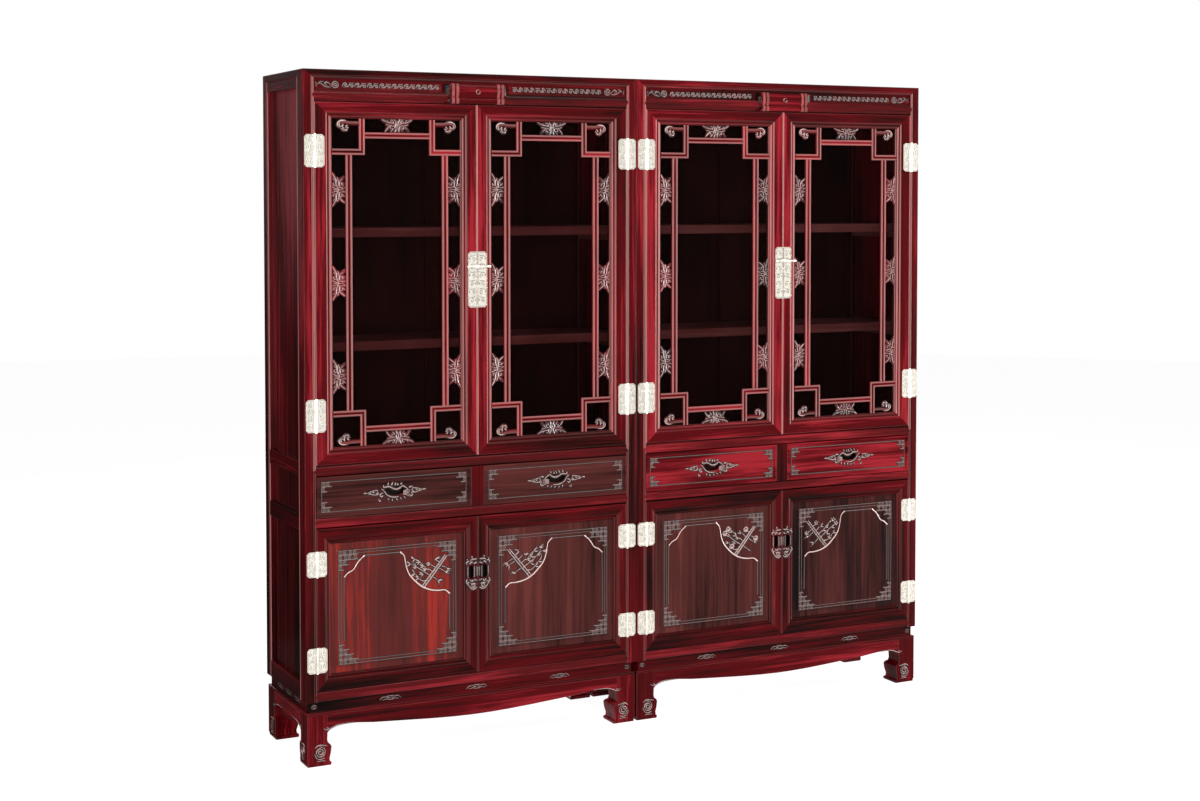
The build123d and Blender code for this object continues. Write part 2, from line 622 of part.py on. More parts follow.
def corner_square(edge_x, edge_z, way_x, way_z):
    """Square of bars in one corner of the light, with a hook bar that ends in a curl."""
    far_x = edge_x + way_x * CORNER_SQUARE_WIDTH
    far_z = edge_z + way_z * CORNER_SQUARE_HEIGHT
    near_x, near_z = far_x - way_x * BAR_WIDTH, far_z - way_z * BAR_WIDTH
    mitre = ((far_x, far_z), (near_x, near_z))
    upright = lattice_bar(*sorted((near_x, far_x)), *sorted((edge_z, far_z)))
    upright &= prism_y((*mitre, (near_x, edge_z), (far_x, edge_z)), BAR_FRONT, GLASS_FRONT)
    level = lattice_bar(*sorted((edge_x, far_x)), *sorted((near_z, far_z)))
    level &= prism_y((*mitre, (edge_x, near_z), (edge_x, far_z)), BAR_FRONT, GLASS_FRONT)
    curl_x = edge_x + way_x * CURL_INSET
    curl_z = edge_z + way_z * (CURL_RADIUS + 2)
    hook_z = edge_z + way_z * HOOK_BAR_INSET
    hook_top = hook_z + way_z * HOOK_BAR_WIDTH
    hook = block(*sorted((curl_x, far_x - way_x * BAR_WIDTH)), BAR_FRONT + 1, GLASS_FRONT,
                 *sorted((hook_z, hook_top)))
    middle_y = (BAR_FRONT + GLASS_FRONT) / 2
    curl = Pos(curl_x, middle_y, curl_z) * Rot(90, 0, 0) * Cylinder(CURL_RADIUS, GLASS_FRONT - BAR_FRONT)
    return [upright, level, hook + curl]


def door_lattice():
    """Lattice of a left-hand glass door, resting against the pane."""
    left, right, low, high = daylight(GLASS_DOOR, GLASS_DOOR_MEMBERS)
    pieces = []
    for edge_x, way_x in ((left, 1), (right, -1)):
        for edge_z, way_z in ((low, 1), (high, -1)):
            pieces += corner_square(edge_x, edge_z, way_x, way_z)
    square_left, square_right = left + CORNER_SQUARE_WIDTH, right - CORNER_SQUARE_WIDTH
    for inner, outer in ((low + ROD_INSET_END, low + ROD_INSET_END - BAR_WIDTH),
                         (high - ROD_INSET_END, high - ROD_INSET_END + BAR_WIDTH)):
        pieces.append(lattice_bar(square_left, square_right, *sorted((inner, outer))))
    rod_low, rod_high = low + CORNER_SQUARE_HEIGHT, high - CORNER_SQUARE_HEIGHT
    gap = ROD_INSET_SIDE - INNER_ROD_WIDTH / 2
    for edge, way in ((left, 1), (right, -1)):
        near, far = edge + way * gap, edge + way * (gap + INNER_ROD_WIDTH)
        pieces.append(lattice_bar(*sorted((near, far)), rod_low, rod_high))
        for step in (-1, 0, 1):
            centre = (low + high) / 2 + step * SPACER_SPACING
            pieces.append(spacer(*sorted((edge, near)), centre - SPACER_HEIGHT / 2,
                                 centre + SPACER_HEIGHT / 2, True))
    centre = (left + right) / 2
    half = TOP_SPACER_WIDTH / 2
    pieces.append(spacer(centre - half, centre + half, low, low + ROD_INSET_END - BAR_WIDTH, False))
    pieces.append(spacer(centre - half, centre + half, high - ROD_INSET_END + BAR_WIDTH, high, False))
    return pieces


# ---- brass ----

def notched_plate(x0, x1, z0, z1, notch_left, notch_right):
    """Plate on the front plane with its corners cut off on the sides named."""
    cut = PLATE_NOTCH
    left_low = [(x0, z0 + cut), (x0 + cut, z0)] if notch_left else [(x0, z0)]
    right_low = [(x1 - cut, z0), (x1, z0 + cut)] if notch_right else [(x1, z0)]
    right_high = [(x1, z1 - cut), (x1 - cut, z1)] if notch_right else [(x1, z1)]
    left_high = [(x0 + cut, z1), (x0, z1 - cut)] if notch_left else [(x0, z1)]
    return prism_y(left_low + right_low + right_high + left_high, -PLATE_THICKNESS, 0)


def barrel_spans(low, high):
    """Heights of the three barrels of a hinge: lower, middle and upper."""
    third = (high - low) / 3
    first, last = low + third, high - third
    return ((low, first - BARREL_PLAY), (first, last), (last + BARREL_PLAY, high))


def hinge_leaf(low, high, fixed):
    """One leaf of a left-hand hinge, on the post if fixed and on the door if not."""
    axis_x, axis_y = POST_WIDTH, -HINGE_STAND_OFF
    spans = barrel_spans(low, high)
    own = (spans[0], spans[2]) if fixed else (spans[1],)
    other = (spans[1],) if fixed else (spans[0], spans[2])
    if fixed:
        leaf = notched_plate(axis_x - HINGE_PLATE_WIDTH, axis_x, low, high, True, False)
    else:
        leaf = notched_plate(axis_x, axis_x + HINGE_PLATE_WIDTH, low, high, False, True)
    for start, end in own:
        leaf += upright_cylinder(axis_x, axis_y, start, end, BARREL_RADIUS)
    for start, end in other:
        leaf -= upright_cylinder(axis_x, axis_y, start - BARREL_PLAY, end + BARREL_PLAY, BARREL_RELIEF)
    return leaf - upright_cylinder(axis_x, axis_y, low - 1, high + 1, PIN_BORE_RADIUS)


def hinge_pin(low, high):
    """Pin with a low head at both ends."""
    axis_x, axis_y = POST_WIDTH, -HINGE_STAND_OFF
    pin = upright_cylinder(axis_x, axis_y, low, high, PIN_RADIUS)
    pin += upright_cylinder(axis_x, axis_y, low - PIN_HEAD_HEIGHT, low, PIN_HEAD_RADIUS)
    return pin + upright_cylinder(axis_x, axis_y, high, high + PIN_HEAD_HEIGHT, PIN_HEAD_RADIUS)


def fixed_hinge_leaves():
    return both_sides([hinge_leaf(low, high, True) for low, high in GLASS_DOOR_HINGES + WOOD_DOOR_HINGES])


def hinge_pins():
    return both_sides([hinge_pin(low, high) for low, high in GLASS_DOOR_HINGES + WOOD_DOOR_HINGES])


def lock_half():
    """Left half of the lock plate with its post and its half of the pull bar."""
    low, high = LOCK_PLATE
    plate = notched_plate(MIDDLE - LOCK_PLATE_WIDTH, DOOR_RIGHT, low, high, True, False)
    axis_y, axis_z = -LOCK_BAR_STAND_OFF, LOCK_BAR_HEIGHT
    end = MIDDLE - LOCK_BAR_HALF
    knob = end + LOCK_KNOB_RADIUS
    swell_start = DOOR_RIGHT - 16
    outline = Polyline((end, 0), (end + 2, LOCK_KNOB_RADIUS * 0.8), (knob, LOCK_KNOB_RADIUS),
                       (knob + 4, LOCK_KNOB_RADIUS * 0.8), (knob + 6, LOCK_BAR_RADIUS),
                       (swell_start, LOCK_BAR_RADIUS),
                       (DOOR_RIGHT - 6, LOCK_SWELL_RADIUS * 0.85), (DOOR_RIGHT, LOCK_SWELL_RADIUS),
                       (DOOR_RIGHT, 0), close=True)
    bar = Pos(0, axis_y, axis_z) * revolve(make_face(outline), axis=Axis.X)
    post_x = MIDDLE - LOCK_POST_OFFSET
    reach = LOCK_BAR_STAND_OFF - PLATE_THICKNESS
    post_middle = -PLATE_THICKNESS - reach / 2
    post = Pos(post_x, post_middle, axis_z) * Rot(90, 0, 0) * Cylinder(LOCK_POST_RADIUS, reach)
    return [plate + post + bar]


# ---- drawers ----

def drawer_front():
    """Left drawer front: a rim round a sunk face with a finger hollow."""
    left, right = POST_WIDTH + DRAWER_GAP, DIVIDER_LEFT - DRAWER_GAP
    low, high = DRAWER_SILL[1] + DRAWER_GAP, DOOR_SILL[0] - DRAWER_GAP
    rim = DRAWER_RIM
    board = block(left, right, 0, DRAWER_FRONT_THICKNESS, low, high)
    board -= block(left + rim, right - rim, 0, DRAWER_SINK, low + rim, high - rim)
    hollow = Ellipse(PULL_WIDTH / 2, PULL_HEIGHT / 2)
    centre = ((left + right) / 2, DRAWER_SINK, PULL_HEIGHT_ABOVE_FLOOR)
    hollow = Plane(centre, x_dir=(1, 0, 0), z_dir=(0, -1, 0)) * hollow
    return [board - extrude(hollow, amount=PULL_DEPTH, dir=(0, 1, 0))]


def drawer_box():
    """Two sides, a back and a bottom behind the left drawer front."""
    outer = DOOR_LEFT + DRAWER_SIDE_INSET
    inner = DIVIDER_LEFT - DRAWER_SIDE_INSET
    low, high = DRAWER_SIDE
    front, board = DRAWER_FRONT_THICKNESS, DRAWER_BOARD
    bottom = low + DRAWER_BOTTOM
    return [block(outer, outer + board, front, DRAWER_BACK, low, high),
            block(inner - board, inner, front, DRAWER_BACK, low, high),
            block(outer + board, inner - board, DRAWER_BACK - board, DRAWER_BACK, low, high),
            block(outer + board, inner - board, front, DRAWER_BACK - board, low, bottom)]


STATIC_NODES = {
    "corner_posts": corner_posts, "top_frames": top_frame, "top_panels": top_panel,
    "front_rails": front_rails, "frieze_boards": frieze_board, "scroll_blocks": scroll_block,
    "side_rails": side_rails, "side_panels": side_panels, "back_rails": back_rails,
    "back_panels": back_panels, "decks": decks, "shelves": shelves,
    "drawer_dividers": drawer_dividers, "drawer_runners": drawer_runners,
    "waist_boards": waist_boards, "stand_top_frames": stand_top_frame, "stand_aprons": stand_aprons,
    "stand_legs": stand_legs, "fixed_hinge_leaves": fixed_hinge_leaves, "hinge_pins": hinge_pins,
}

MOVING_NODES = {
    "upper_{}_door_frame": glass_door_frame, "upper_{}_door_glass": glass_pane,
    "upper_{}_door_lattice": door_lattice,
    "upper_{}_door_hinge_leaves": lambda: [hinge_leaf(*span, False) for span in GLASS_DOOR_HINGES],
    "upper_{}_door_lock_half": lock_half,
    "lower_{}_door_frame": wood_door_frame, "lower_{}_door_panel": wood_door_panel,
    "lower_{}_door_hinge_leaves": lambda: [hinge_leaf(*span, False) for span in WOOD_DOOR_HINGES],
    "{}_drawer_front": drawer_front, "{}_drawer_box": drawer_box,
}


def placed(pieces, unit):
    """Pieces of one cabinet moved to its place in the pair."""
    return [Pos(UNIT_X[unit], FRONT_Y, 0) * piece for piece in pieces]


def save(name, pieces):
    solids = [solid for piece in pieces for solid in piece.solids()]
    shape = solids[0] if len(solids) == 1 else Compound(children=solids)
    export_step(shape, os.path.join("parts", name + ".step"))
    return len(solids)


def main():
    os.makedirs("parts", exist_ok=True)
    total = 0
    for name, make in STATIC_NODES.items():
        pieces = make()
        total += save(name, [piece for unit in range(UNIT_COUNT) for piece in placed(pieces, unit)])
    for pattern, make in MOVING_NODES.items():
        left_pieces = make()
        hands = {"left": left_pieces, "right": [across(piece) for piece in left_pieces]}
        for hand, pieces in hands.items():
            for unit, unit_name in enumerate(UNIT_NAMES):
                total += save(unit_name + "_" + pattern.format(hand), placed(pieces, unit))
    print("solids:", total)


main()
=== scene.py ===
"""Looks of a pair of glazed, carved hardwood book cabinets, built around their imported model.

Sizes are millimetres in the coordinates of one cabinet: x from its left side, y from the front plane
of its posts, z from the floor. A right-hand piece is the mirror image of the left-hand one. Carving is
drawn flat, as (right, up) in millimetres.
"""

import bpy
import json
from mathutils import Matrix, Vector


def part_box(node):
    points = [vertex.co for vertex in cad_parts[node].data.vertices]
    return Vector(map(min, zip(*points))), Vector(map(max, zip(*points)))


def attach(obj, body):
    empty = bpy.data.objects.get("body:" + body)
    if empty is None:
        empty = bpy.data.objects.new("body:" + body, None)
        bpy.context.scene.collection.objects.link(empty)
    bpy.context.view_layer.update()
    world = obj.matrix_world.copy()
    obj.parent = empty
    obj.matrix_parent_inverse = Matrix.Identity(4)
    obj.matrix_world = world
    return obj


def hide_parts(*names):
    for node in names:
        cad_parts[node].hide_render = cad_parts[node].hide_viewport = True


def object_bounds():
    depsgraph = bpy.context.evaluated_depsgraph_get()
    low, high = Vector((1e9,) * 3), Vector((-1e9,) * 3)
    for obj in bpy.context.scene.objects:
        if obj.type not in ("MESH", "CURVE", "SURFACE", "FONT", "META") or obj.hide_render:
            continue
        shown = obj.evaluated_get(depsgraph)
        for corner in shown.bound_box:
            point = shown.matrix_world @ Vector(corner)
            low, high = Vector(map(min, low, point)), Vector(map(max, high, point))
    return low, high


bl_info = {
    "name": "Carved Book Cabinet",
    "version": (1, 0),
    "blender": (4, 5, 0),
    "location": "3D View > Sidebar > Book Cabinet",
    "description": "Builds the wood, glass, brass and carving of a pair of book cabinets",
    "category": "Add Mesh",
}

import json
import math
import random

import bmesh
import bpy
from bpy.props import FloatProperty, FloatVectorProperty, PointerProperty
from mathutils import Matrix, Vector

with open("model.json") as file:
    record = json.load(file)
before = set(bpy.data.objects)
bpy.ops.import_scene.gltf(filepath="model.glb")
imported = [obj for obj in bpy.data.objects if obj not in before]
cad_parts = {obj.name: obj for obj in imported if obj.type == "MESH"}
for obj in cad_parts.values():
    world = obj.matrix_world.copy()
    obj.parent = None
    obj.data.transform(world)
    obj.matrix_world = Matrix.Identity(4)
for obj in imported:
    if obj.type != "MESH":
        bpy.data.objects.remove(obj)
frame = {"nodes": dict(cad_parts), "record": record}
CAD_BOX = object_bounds()

MM = 0.001
UNITS = ("left_unit", "right_unit")
HANDS = ("left", "right")

# ---- sizes of one cabinet, read from the frame ----
UNIT_WIDTH = (CAD_BOX[1].x - CAD_BOX[0].x) / len(UNITS) / MM
MIDDLE = UNIT_WIDTH / 2
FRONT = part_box("corner_posts")[0].y
DEPTH = (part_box("corner_posts")[1].y - FRONT) / MM
HEIGHT = CAD_BOX[1].z / MM
UNIT_PLACES = {unit: Matrix.Translation((CAD_BOX[0].x + number * UNIT_WIDTH * MM, FRONT, 0))
               @ Matrix.Scale(MM, 4) for number, unit in enumerate(UNITS)}
ACROSS = Matrix.Translation((UNIT_WIDTH, 0, 0)) @ Matrix.Diagonal((-1, 1, 1, 1))

# turns of a flat drawing: onto the front, and onto the left side
TO_FRONT = Matrix(((1, 0, 0, 0), (0, 0, -1, 0), (0, 1, 0, 0), (0, 0, 0, 1)))
TO_LEFT_SIDE = Matrix(((0, 0, -1, 0), (-1, 0, 0, 0), (0, 1, 0, 0), (0, 0, 0, 1)))

GRAIN = {"x": (1, 0, 0), "y": (0, 1, 0), "z": (0, 0, 1)}
UP = Vector((0, 0, 1))
# millimetres within which two points are one, and degrees within which two faces are one
WELD = 0.01
FLAT_ANGLE = 0.6

# edges that turn further than this are rounded, and a bar is so many times longer than it is wide
SMOOTH_ANGLE = math.radians(42)
BAR_RATIO = 3.0
THIN_BAR_RATIO = 5.0
ALONG = 0.9

# wear and painted highlight, from 0 to 1: of rounded edges, of carving, and the share of it that lying edges
# get, as the painted highlight lies mostly on upright ones
EDGE_WEAR_AND_HIGHLIGHT = 0.6
CARVING_WEAR_AND_HIGHLIGHT = 0.95
LYING_HIGHLIGHT_SHARE = 0.12
# height of the low ground beside carved ridges for its half-width
HALO_RELIEF = 0.12
# the widest face that gets wear and painted highlight, in millimetres, the share of its longest edge that a
# side has at least, and the turn along its sides that gives it the most
NARROW = 3.3
SIDE_SHARE = 0.5
FULL_TURN = math.radians(40)

# tones, which make the wood darker or lighter: painted shade on the ground beside carving and in hollows, and
# the most painted shade and painted highlight that an inward and an outward turn of a thin bar gives
CARVING_SHADE_TONE = -1.2
HOLLOW_SHADE_TONE = -1.7
HOLLOW_SHADE = 1.2
CREST_LIGHT = 0.05


def unit_box(node):
    """Lowest and highest corner of a left unit's node, in that cabinet's millimetres."""
    back = UNIT_PLACES["left_unit"].inverted()
    return [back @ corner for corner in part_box(node)]


def place_of(unit, hand="left"):
    return UNIT_PLACES[unit] @ (ACROSS if hand == "right" else Matrix())


def unit_at(point):
    """Name of the cabinet that a point, in metres, belongs to."""
    return "left_unit" if point.x < 0 else "right_unit"


# ---- settings that a user may change ----

class CabinetSizes(bpy.types.PropertyGroup):
    edge: FloatProperty(
        name="Edge rounding", description="Radius of the sanded edges of the boards",
        default=1.1 * MM, unit="LENGTH")
    metal_edge: FloatProperty(
        name="Brass edge", description="Radius of the filed edges of the brass",
        default=0.5 * MM, unit="LENGTH")
    relief: FloatProperty(
        name="Carving relief", description="Height of a carved ridge for its half-width",
        default=1.0)


class CabinetFinish(bpy.types.PropertyGroup):
    streak: FloatVectorProperty(
        name="Streaks", description="Colour of the dark streaks in the wood",
        subtype="COLOR", size=4, default=(0.017, 0.0022, 0.0018, 1))
    wood: FloatVectorProperty(
        name="Wood", description="Colour of most of the wood",
        subtype="COLOR", size=4, default=(0.092, 0.0026, 0.0044, 1))
    glow: FloatVectorProperty(
        name="Bright grain", description="Colour of the brightest bands of grain",
        subtype="COLOR", size=4, default=(0.33, 0.017, 0.026, 1))
    brown: FloatVectorProperty(
        name="Brown wood", description="Colour of the browner panels and drawer fronts",
        subtype="COLOR", size=4, default=(0.078, 0.0175, 0.0150, 1))
    flame: FloatVectorProperty(
        name="Flame grain", description="Colour of the brightest grain in the lightest panel",
        subtype="COLOR", size=4, default=(0.34, 0.024, 0.016, 1))
    inside: FloatVectorProperty(
        name="Inside wood", description="Colour of the boards inside",
        subtype="COLOR", size=4, default=(0.055, 0.009, 0.008, 1))
    brass: FloatVectorProperty(
        name="Brass", description="Colour of the polished brass",
        subtype="COLOR", size=4, default=(0.92, 0.87, 0.78, 1))
    # colour of the worn edges, which also serves as the painted highlight along mouldings
    rubbed_highlight: FloatVectorProperty(
        name="Rubbed edges", description="Colour of the wood where its edges are worn",
        subtype="COLOR", size=4, default=(0.62, 0.27, 0.25, 1))
    # painted highlight on the tops and upper left sides of the carving
    crest_highlight: FloatVectorProperty(
        name="Carved crests", description="Colour of the crests of the carving",
        subtype="COLOR", size=4, default=(0.88, 0.61, 0.57, 1))
    engraving: FloatVectorProperty(
        name="Engraving", description="Colour of the patina in the engraved lines",
        subtype="COLOR", size=4, default=(0.20, 0.165, 0.10, 1))
    floor: FloatVectorProperty(
        name="Floor", description="Colour of the floor",
        subtype="COLOR", size=4, default=(0.25, 0.25, 0.25, 1))


# ---- materials ----

def new_material(name):
    """Material with only an output and a Principled shader, and functions that add and join nodes."""
    made = bpy.data.materials.new(name)
    made.use_nodes = True
    tree = made.node_tree
    shader = tree.nodes["Principled BSDF"]

    def add(kind, **inputs):
        node = tree.nodes.new("ShaderNode" + kind)
        for socket, value in inputs.items():
            node.inputs[socket.replace("_", " ")].default_value = value
        return node

    return made, shader, add, tree.links.new


def ramp(add, *stops):
    """Colour ramp with its stops as (place, colour)."""
    node = add("ValToRGB")
    elements = node.color_ramp.elements
    while len(elements) < len(stops):
        elements.new(0.5)
    for element, (place, colour) in zip(elements, stops):
        element.position = place
        element.color = colour
    return node


def vector_math(add, link, operation, first, second):
    """Vector node that joins two values. A number scales the first one."""
    node = add("VectorMath")
    node.operation = operation
    link(first, node.inputs[0])
    if isinstance(second, (int, float)):
        node.inputs["Scale"].default_value = second
    else:
        link(second, node.inputs["Scale" if operation == "SCALE" else 1])
    return node.outputs["Value" if operation == "DOT_PRODUCT" else "Vector"]


def multiply_add(add, link, value, factor, extra=None):
    """value times a number, plus an optional other value."""
    node = add("Math")
    node.operation = "MULTIPLY_ADD"
    link(value, node.inputs[0])
    node.inputs[1].default_value = factor
    node.inputs[2].default_value = 0
    if extra is not None:
        link(extra, node.inputs[2])
    return node.outputs[0]


def attribute(add, name):
    node = add("Attribute")
    node.attribute_name = name
    return node


def uneven_roughness(add, link, noise, shader, highest, lowest):
    """Roughness that falls from the highest to the lowest where the noise rises."""
    rough = add("MapRange", From_Min=0.3, From_Max=0.7, To_Min=highest, To_Max=lowest)
    link(noise, rough.inputs["Value"])
    link(rough.outputs["Result"], shader.inputs["Roughness"])


# noises of the wood: scale, detail, roughness, distortion, and weight in the wood's lightness
WOOD_NOISES = {"fine": (330.0, 4.0, 0.6, 0.2, 0.18), "bands": (62.0, 5.0, 0.66, 0.5, 0.56),
               "clouds": (11.0, 2.0, 0.5, 0.4, 0.20), "patches": (9.0, 2.0, 0.5, 0.3, 0.46)}
FLAME_BANDS = 30.0
TONE_WEIGHT = 0.16
# lightness at which the nearly black lines, the streaks, the wood (twice) and the bright grain stand
WOOD_STOPS = (0.47, 0.565, 0.69, 0.73, 0.845)
BLACK_LINES = 0.15
PORE_STRENGTH = 0.15
PORE_DEPTH = 0.3 * MM
# how far the streaks and the larger patches are squeezed along the grain, and how far one board's grain
# is moved from the next one's
STREAK_STRETCH = 0.03
PATCH_STRETCH = 0.18
BOARD_SHIFT = (7.3, 11.9, 17.1)


def grain_place(add, link, board, stretch):
    """Object coordinates squeezed along the grain and moved by the board's own number."""
    place = add("TexCoord").outputs["Object"]
    along = vector_math(add, link, "DOT_PRODUCT", place, board.outputs["Vector"])
    lengthwise = vector_math(add, link, "SCALE", board.outputs["Vector"], along)
    crosswise = vector_math(add, link, "SUBTRACT", place, lengthwise)
    squeezed = vector_math(add, link, "SCALE", lengthwise, stretch)
    shift = add("CombineXYZ")
    for socket, factor in zip("XYZ", BOARD_SHIFT):
        link(multiply_add(add, link, board.outputs["Alpha"], factor), shift.inputs[socket])
    streaks = vector_math(add, link, "ADD", crosswise, squeezed)
    return vector_math(add, link, "ADD", streaks, shift.outputs[0])


def wood_material(name, colours, rubbed_highlight, roughness, gloss, band_scale=WOOD_NOISES["bands"][0]):
    """Streaky wood whose grain runs along each board's own direction.

    The point attribute "board" holds the grain direction and, as alpha, the board's own number. The
    point attribute "tone" makes a board lighter or darker, by its own tone and by painted shade and light,
    and the face attribute "rubbed_highlight" says how far a face takes the colour of wear and painted
    highlight."""
    made, shader, add, link = new_material(name)
    board, tone, wear_and_highlight = [attribute(add, each) for each in ("board", "tone", "rubbed_highlight")]
    place = grain_place(add, link, board, STREAK_STRETCH)
    patch_place = grain_place(add, link, board, PATCH_STRETCH)
    total, noises = None, {}
    for kind, (scale, detail, fineness, distortion, weight) in WOOD_NOISES.items():
        noise = add("TexNoise", Scale=band_scale if kind == "bands" else scale, Detail=detail,
                    Roughness=fineness, Distortion=distortion)
        link(patch_place if kind == "patches" else place, noise.inputs["Vector"])
        total = multiply_add(add, link, noise.outputs["Fac"], weight, total)
        noises[kind] = noise.outputs["Fac"]
    total = multiply_add(add, link, tone.outputs["Fac"], TONE_WEIGHT, total)
    streak, wood, glow = colours
    colour = ramp(add, *zip(WOOD_STOPS, (shaded(streak, BLACK_LINES), streak, wood, wood, glow)))
    link(total, colour.inputs[0])
    # mixes in the colour of wear and painted highlight
    worn_highlight = add("Mix")
    worn_highlight.data_type = "RGBA"
    link(wear_and_highlight.outputs["Fac"], worn_highlight.inputs["Factor"])
    link(colour.outputs["Color"], worn_highlight.inputs[6])
    worn_highlight.inputs[7].default_value = rubbed_highlight
    link(worn_highlight.outputs[2], shader.inputs["Base Color"])

    uneven_roughness(add, link, noises["bands"], shader, roughness * 1.3, roughness * 0.75)
    bump = add("Bump", Strength=PORE_STRENGTH, Distance=PORE_DEPTH)
    link(noises["fine"], bump.inputs["Height"])
    link(bump.outputs["Normal"], shader.inputs["Normal"])
    shader.inputs["Specular IOR Level"].default_value = gloss
    return made


TARNISH = 0.72


def metal_material(name, colour, roughness):
    """Metal with slight clouds of tarnish."""
    made, shader, add, link = new_material(name)
    place = add("TexCoord").outputs["Object"]
    cloud = add("TexNoise", Scale=90.0, Detail=4.0, Roughness=0.6)
    link(place, cloud.inputs["Vector"])
    tint = ramp(add, (0.35, shaded(colour, TARNISH)), (0.6, colour))
    link(cloud.outputs["Fac"], tint.inputs[0])
    link(tint.outputs["Color"], shader.inputs["Base Color"])
    uneven_roughness(add, link, cloud.outputs["Fac"], shader, roughness * 1.3, roughness * 0.8)
    shader.inputs["Metallic"].default_value = 1.0
    return made


GLASS_TINTS = ((0.60, 0.57, 0.56, 1), (0.66, 0.63, 0.62, 1))
GLASS_ROUGHNESS = (0.02, 0.06)
GLASS_SHINE = (0.8, 0.8, 0.8, 1)
GLASS_IOR = 1.08


def glass_material(name):
    """Dark clear pane: part of the light passes straight through it and its face stays glossy."""
    made, shader, add, link = new_material(name)
    place = add("TexCoord").outputs["Object"]
    smear = add("TexNoise", Scale=9.0, Detail=3.0)
    link(place, smear.inputs["Vector"])
    smooth, smeared = GLASS_ROUGHNESS
    rough = add("MapRange", From_Min=0.3, From_Max=0.8, To_Min=smooth, To_Max=smeared)
    link(smear.outputs["Fac"], rough.inputs["Value"])
    clear = add("BsdfTransparent")
    tint = ramp(add, *zip((0.3, 0.7), GLASS_TINTS))
    link(smear.outputs["Fac"], tint.inputs[0])
    link(tint.outputs["Color"], clear.inputs["Color"])
    shine = add("BsdfGlossy")
    shine.inputs["Color"].default_value = GLASS_SHINE
    link(rough.outputs["Result"], shine.inputs["Roughness"])
    facing = add("Fresnel", IOR=GLASS_IOR)
    mix = add("MixShader")
    link(facing.outputs[0], mix.inputs[0])
    link(clear.outputs[0], mix.inputs[1])
    link(shine.outputs[0], mix.inputs[2])
    link(mix.outputs[0], made.node_tree.nodes["Material Output"].inputs["Surface"])
    made.node_tree.nodes.remove(shader)
    return made


def seen_directly(tree):
    """1 where the camera, a reflection or a clear pane looks, 0 where light is gathered."""
    paths = tree.nodes.new("ShaderNodeLightPath")
    total = paths.outputs["Is Camera Ray"]
    for kind in ("Is Glossy Ray", "Is Transmission Ray"):
        either = tree.nodes.new("ShaderNodeMath")
        either.operation = "MAXIMUM"
        tree.links.new(total, either.inputs[0])
        tree.links.new(paths.outputs[kind], either.inputs[1])
        total = either.outputs[0]
    return total


WHITE = (1, 1, 1, 1)
FLOOR_OWN_WHITE = 0.945


def floor_material(name, colour):
    """Pale floor that shows white and keeps a faint shadow of the cabinets."""
    made, shader, add, link = new_material(name)
    shader.inputs["Roughness"].default_value = 0.9
    shader.inputs["Specular IOR Level"].default_value = 0.0
    shader.inputs["Base Color"].default_value = colour
    shader.inputs["Emission Color"].default_value = WHITE
    strength = multiply_add(add, link, seen_directly(made.node_tree), FLOOR_OWN_WHITE)
    link(strength, shader.inputs["Emission Strength"])
    return made


def shaded(colour, share):
    return tuple(channel * share for channel in colour[:3]) + (1,)


# the middle grain of the lightest panel, and the dark, middle and bright grain of the shelves, which are
# painted
# light: lighter than the wood, standing for the light that comes in through the glass
FLAME_MIDDLE = (0.105, 0.0150, 0.0130, 1)
SHELF_LIT_COLOURS = ((0.19, 0.040, 0.042, 1), (0.30, 0.072, 0.075, 1), (0.42, 0.14, 0.145, 1))


def material(name):
    """One of the materials, made when it is first asked for."""
    found = bpy.data.materials.get(name)
    if found:
        return found
    finish = bpy.context.scene.cabinet_finish
    rubbed_highlight, brown, inside = tuple(finish.rubbed_highlight), tuple(finish.brown), tuple(finish.inside)
    woods = [tuple(finish.streak), tuple(finish.wood), tuple(finish.glow)]
    browns = [shaded(brown, share) for share in (0.45, 1.0, 1.7)]
    flames = [shaded(brown, 0.55), FLAME_MIDDLE, tuple(finish.flame)]
    insides = [shaded(inside, share) for share in (0.4, 1.0, 1.5)]
    # colours, colour of wear and painted highlight, roughness, gloss, and scale of the bands where it isn't
    # the usual one
    recipes = {
        "rosewood": (woods, rubbed_highlight, 0.16, 0.05),
        "carved_rosewood": (woods, tuple(finish.crest_highlight), 0.19, 0.40),
        "brown_rosewood": (browns, rubbed_highlight, 0.20, 0.08),
        "flame_rosewood": (flames, rubbed_highlight, 0.18, 0.12, FLAME_BANDS),
        "plain_inside_wood": (insides, insides[2], 0.45, 0.12),
        "shelf_wood": (SHELF_LIT_COLOURS, woods[2], 0.35, 0.12),
    }
    if name in recipes:
        return wood_material(name, *recipes[name])
    if name == "pale_brass":
        return metal_material(name, tuple(finish.brass), 0.26)
    if name == "engraved_lines":
        return metal_material(name, tuple(finish.engraving), 0.5)
    return glass_material(name)


# ---- pieces ----

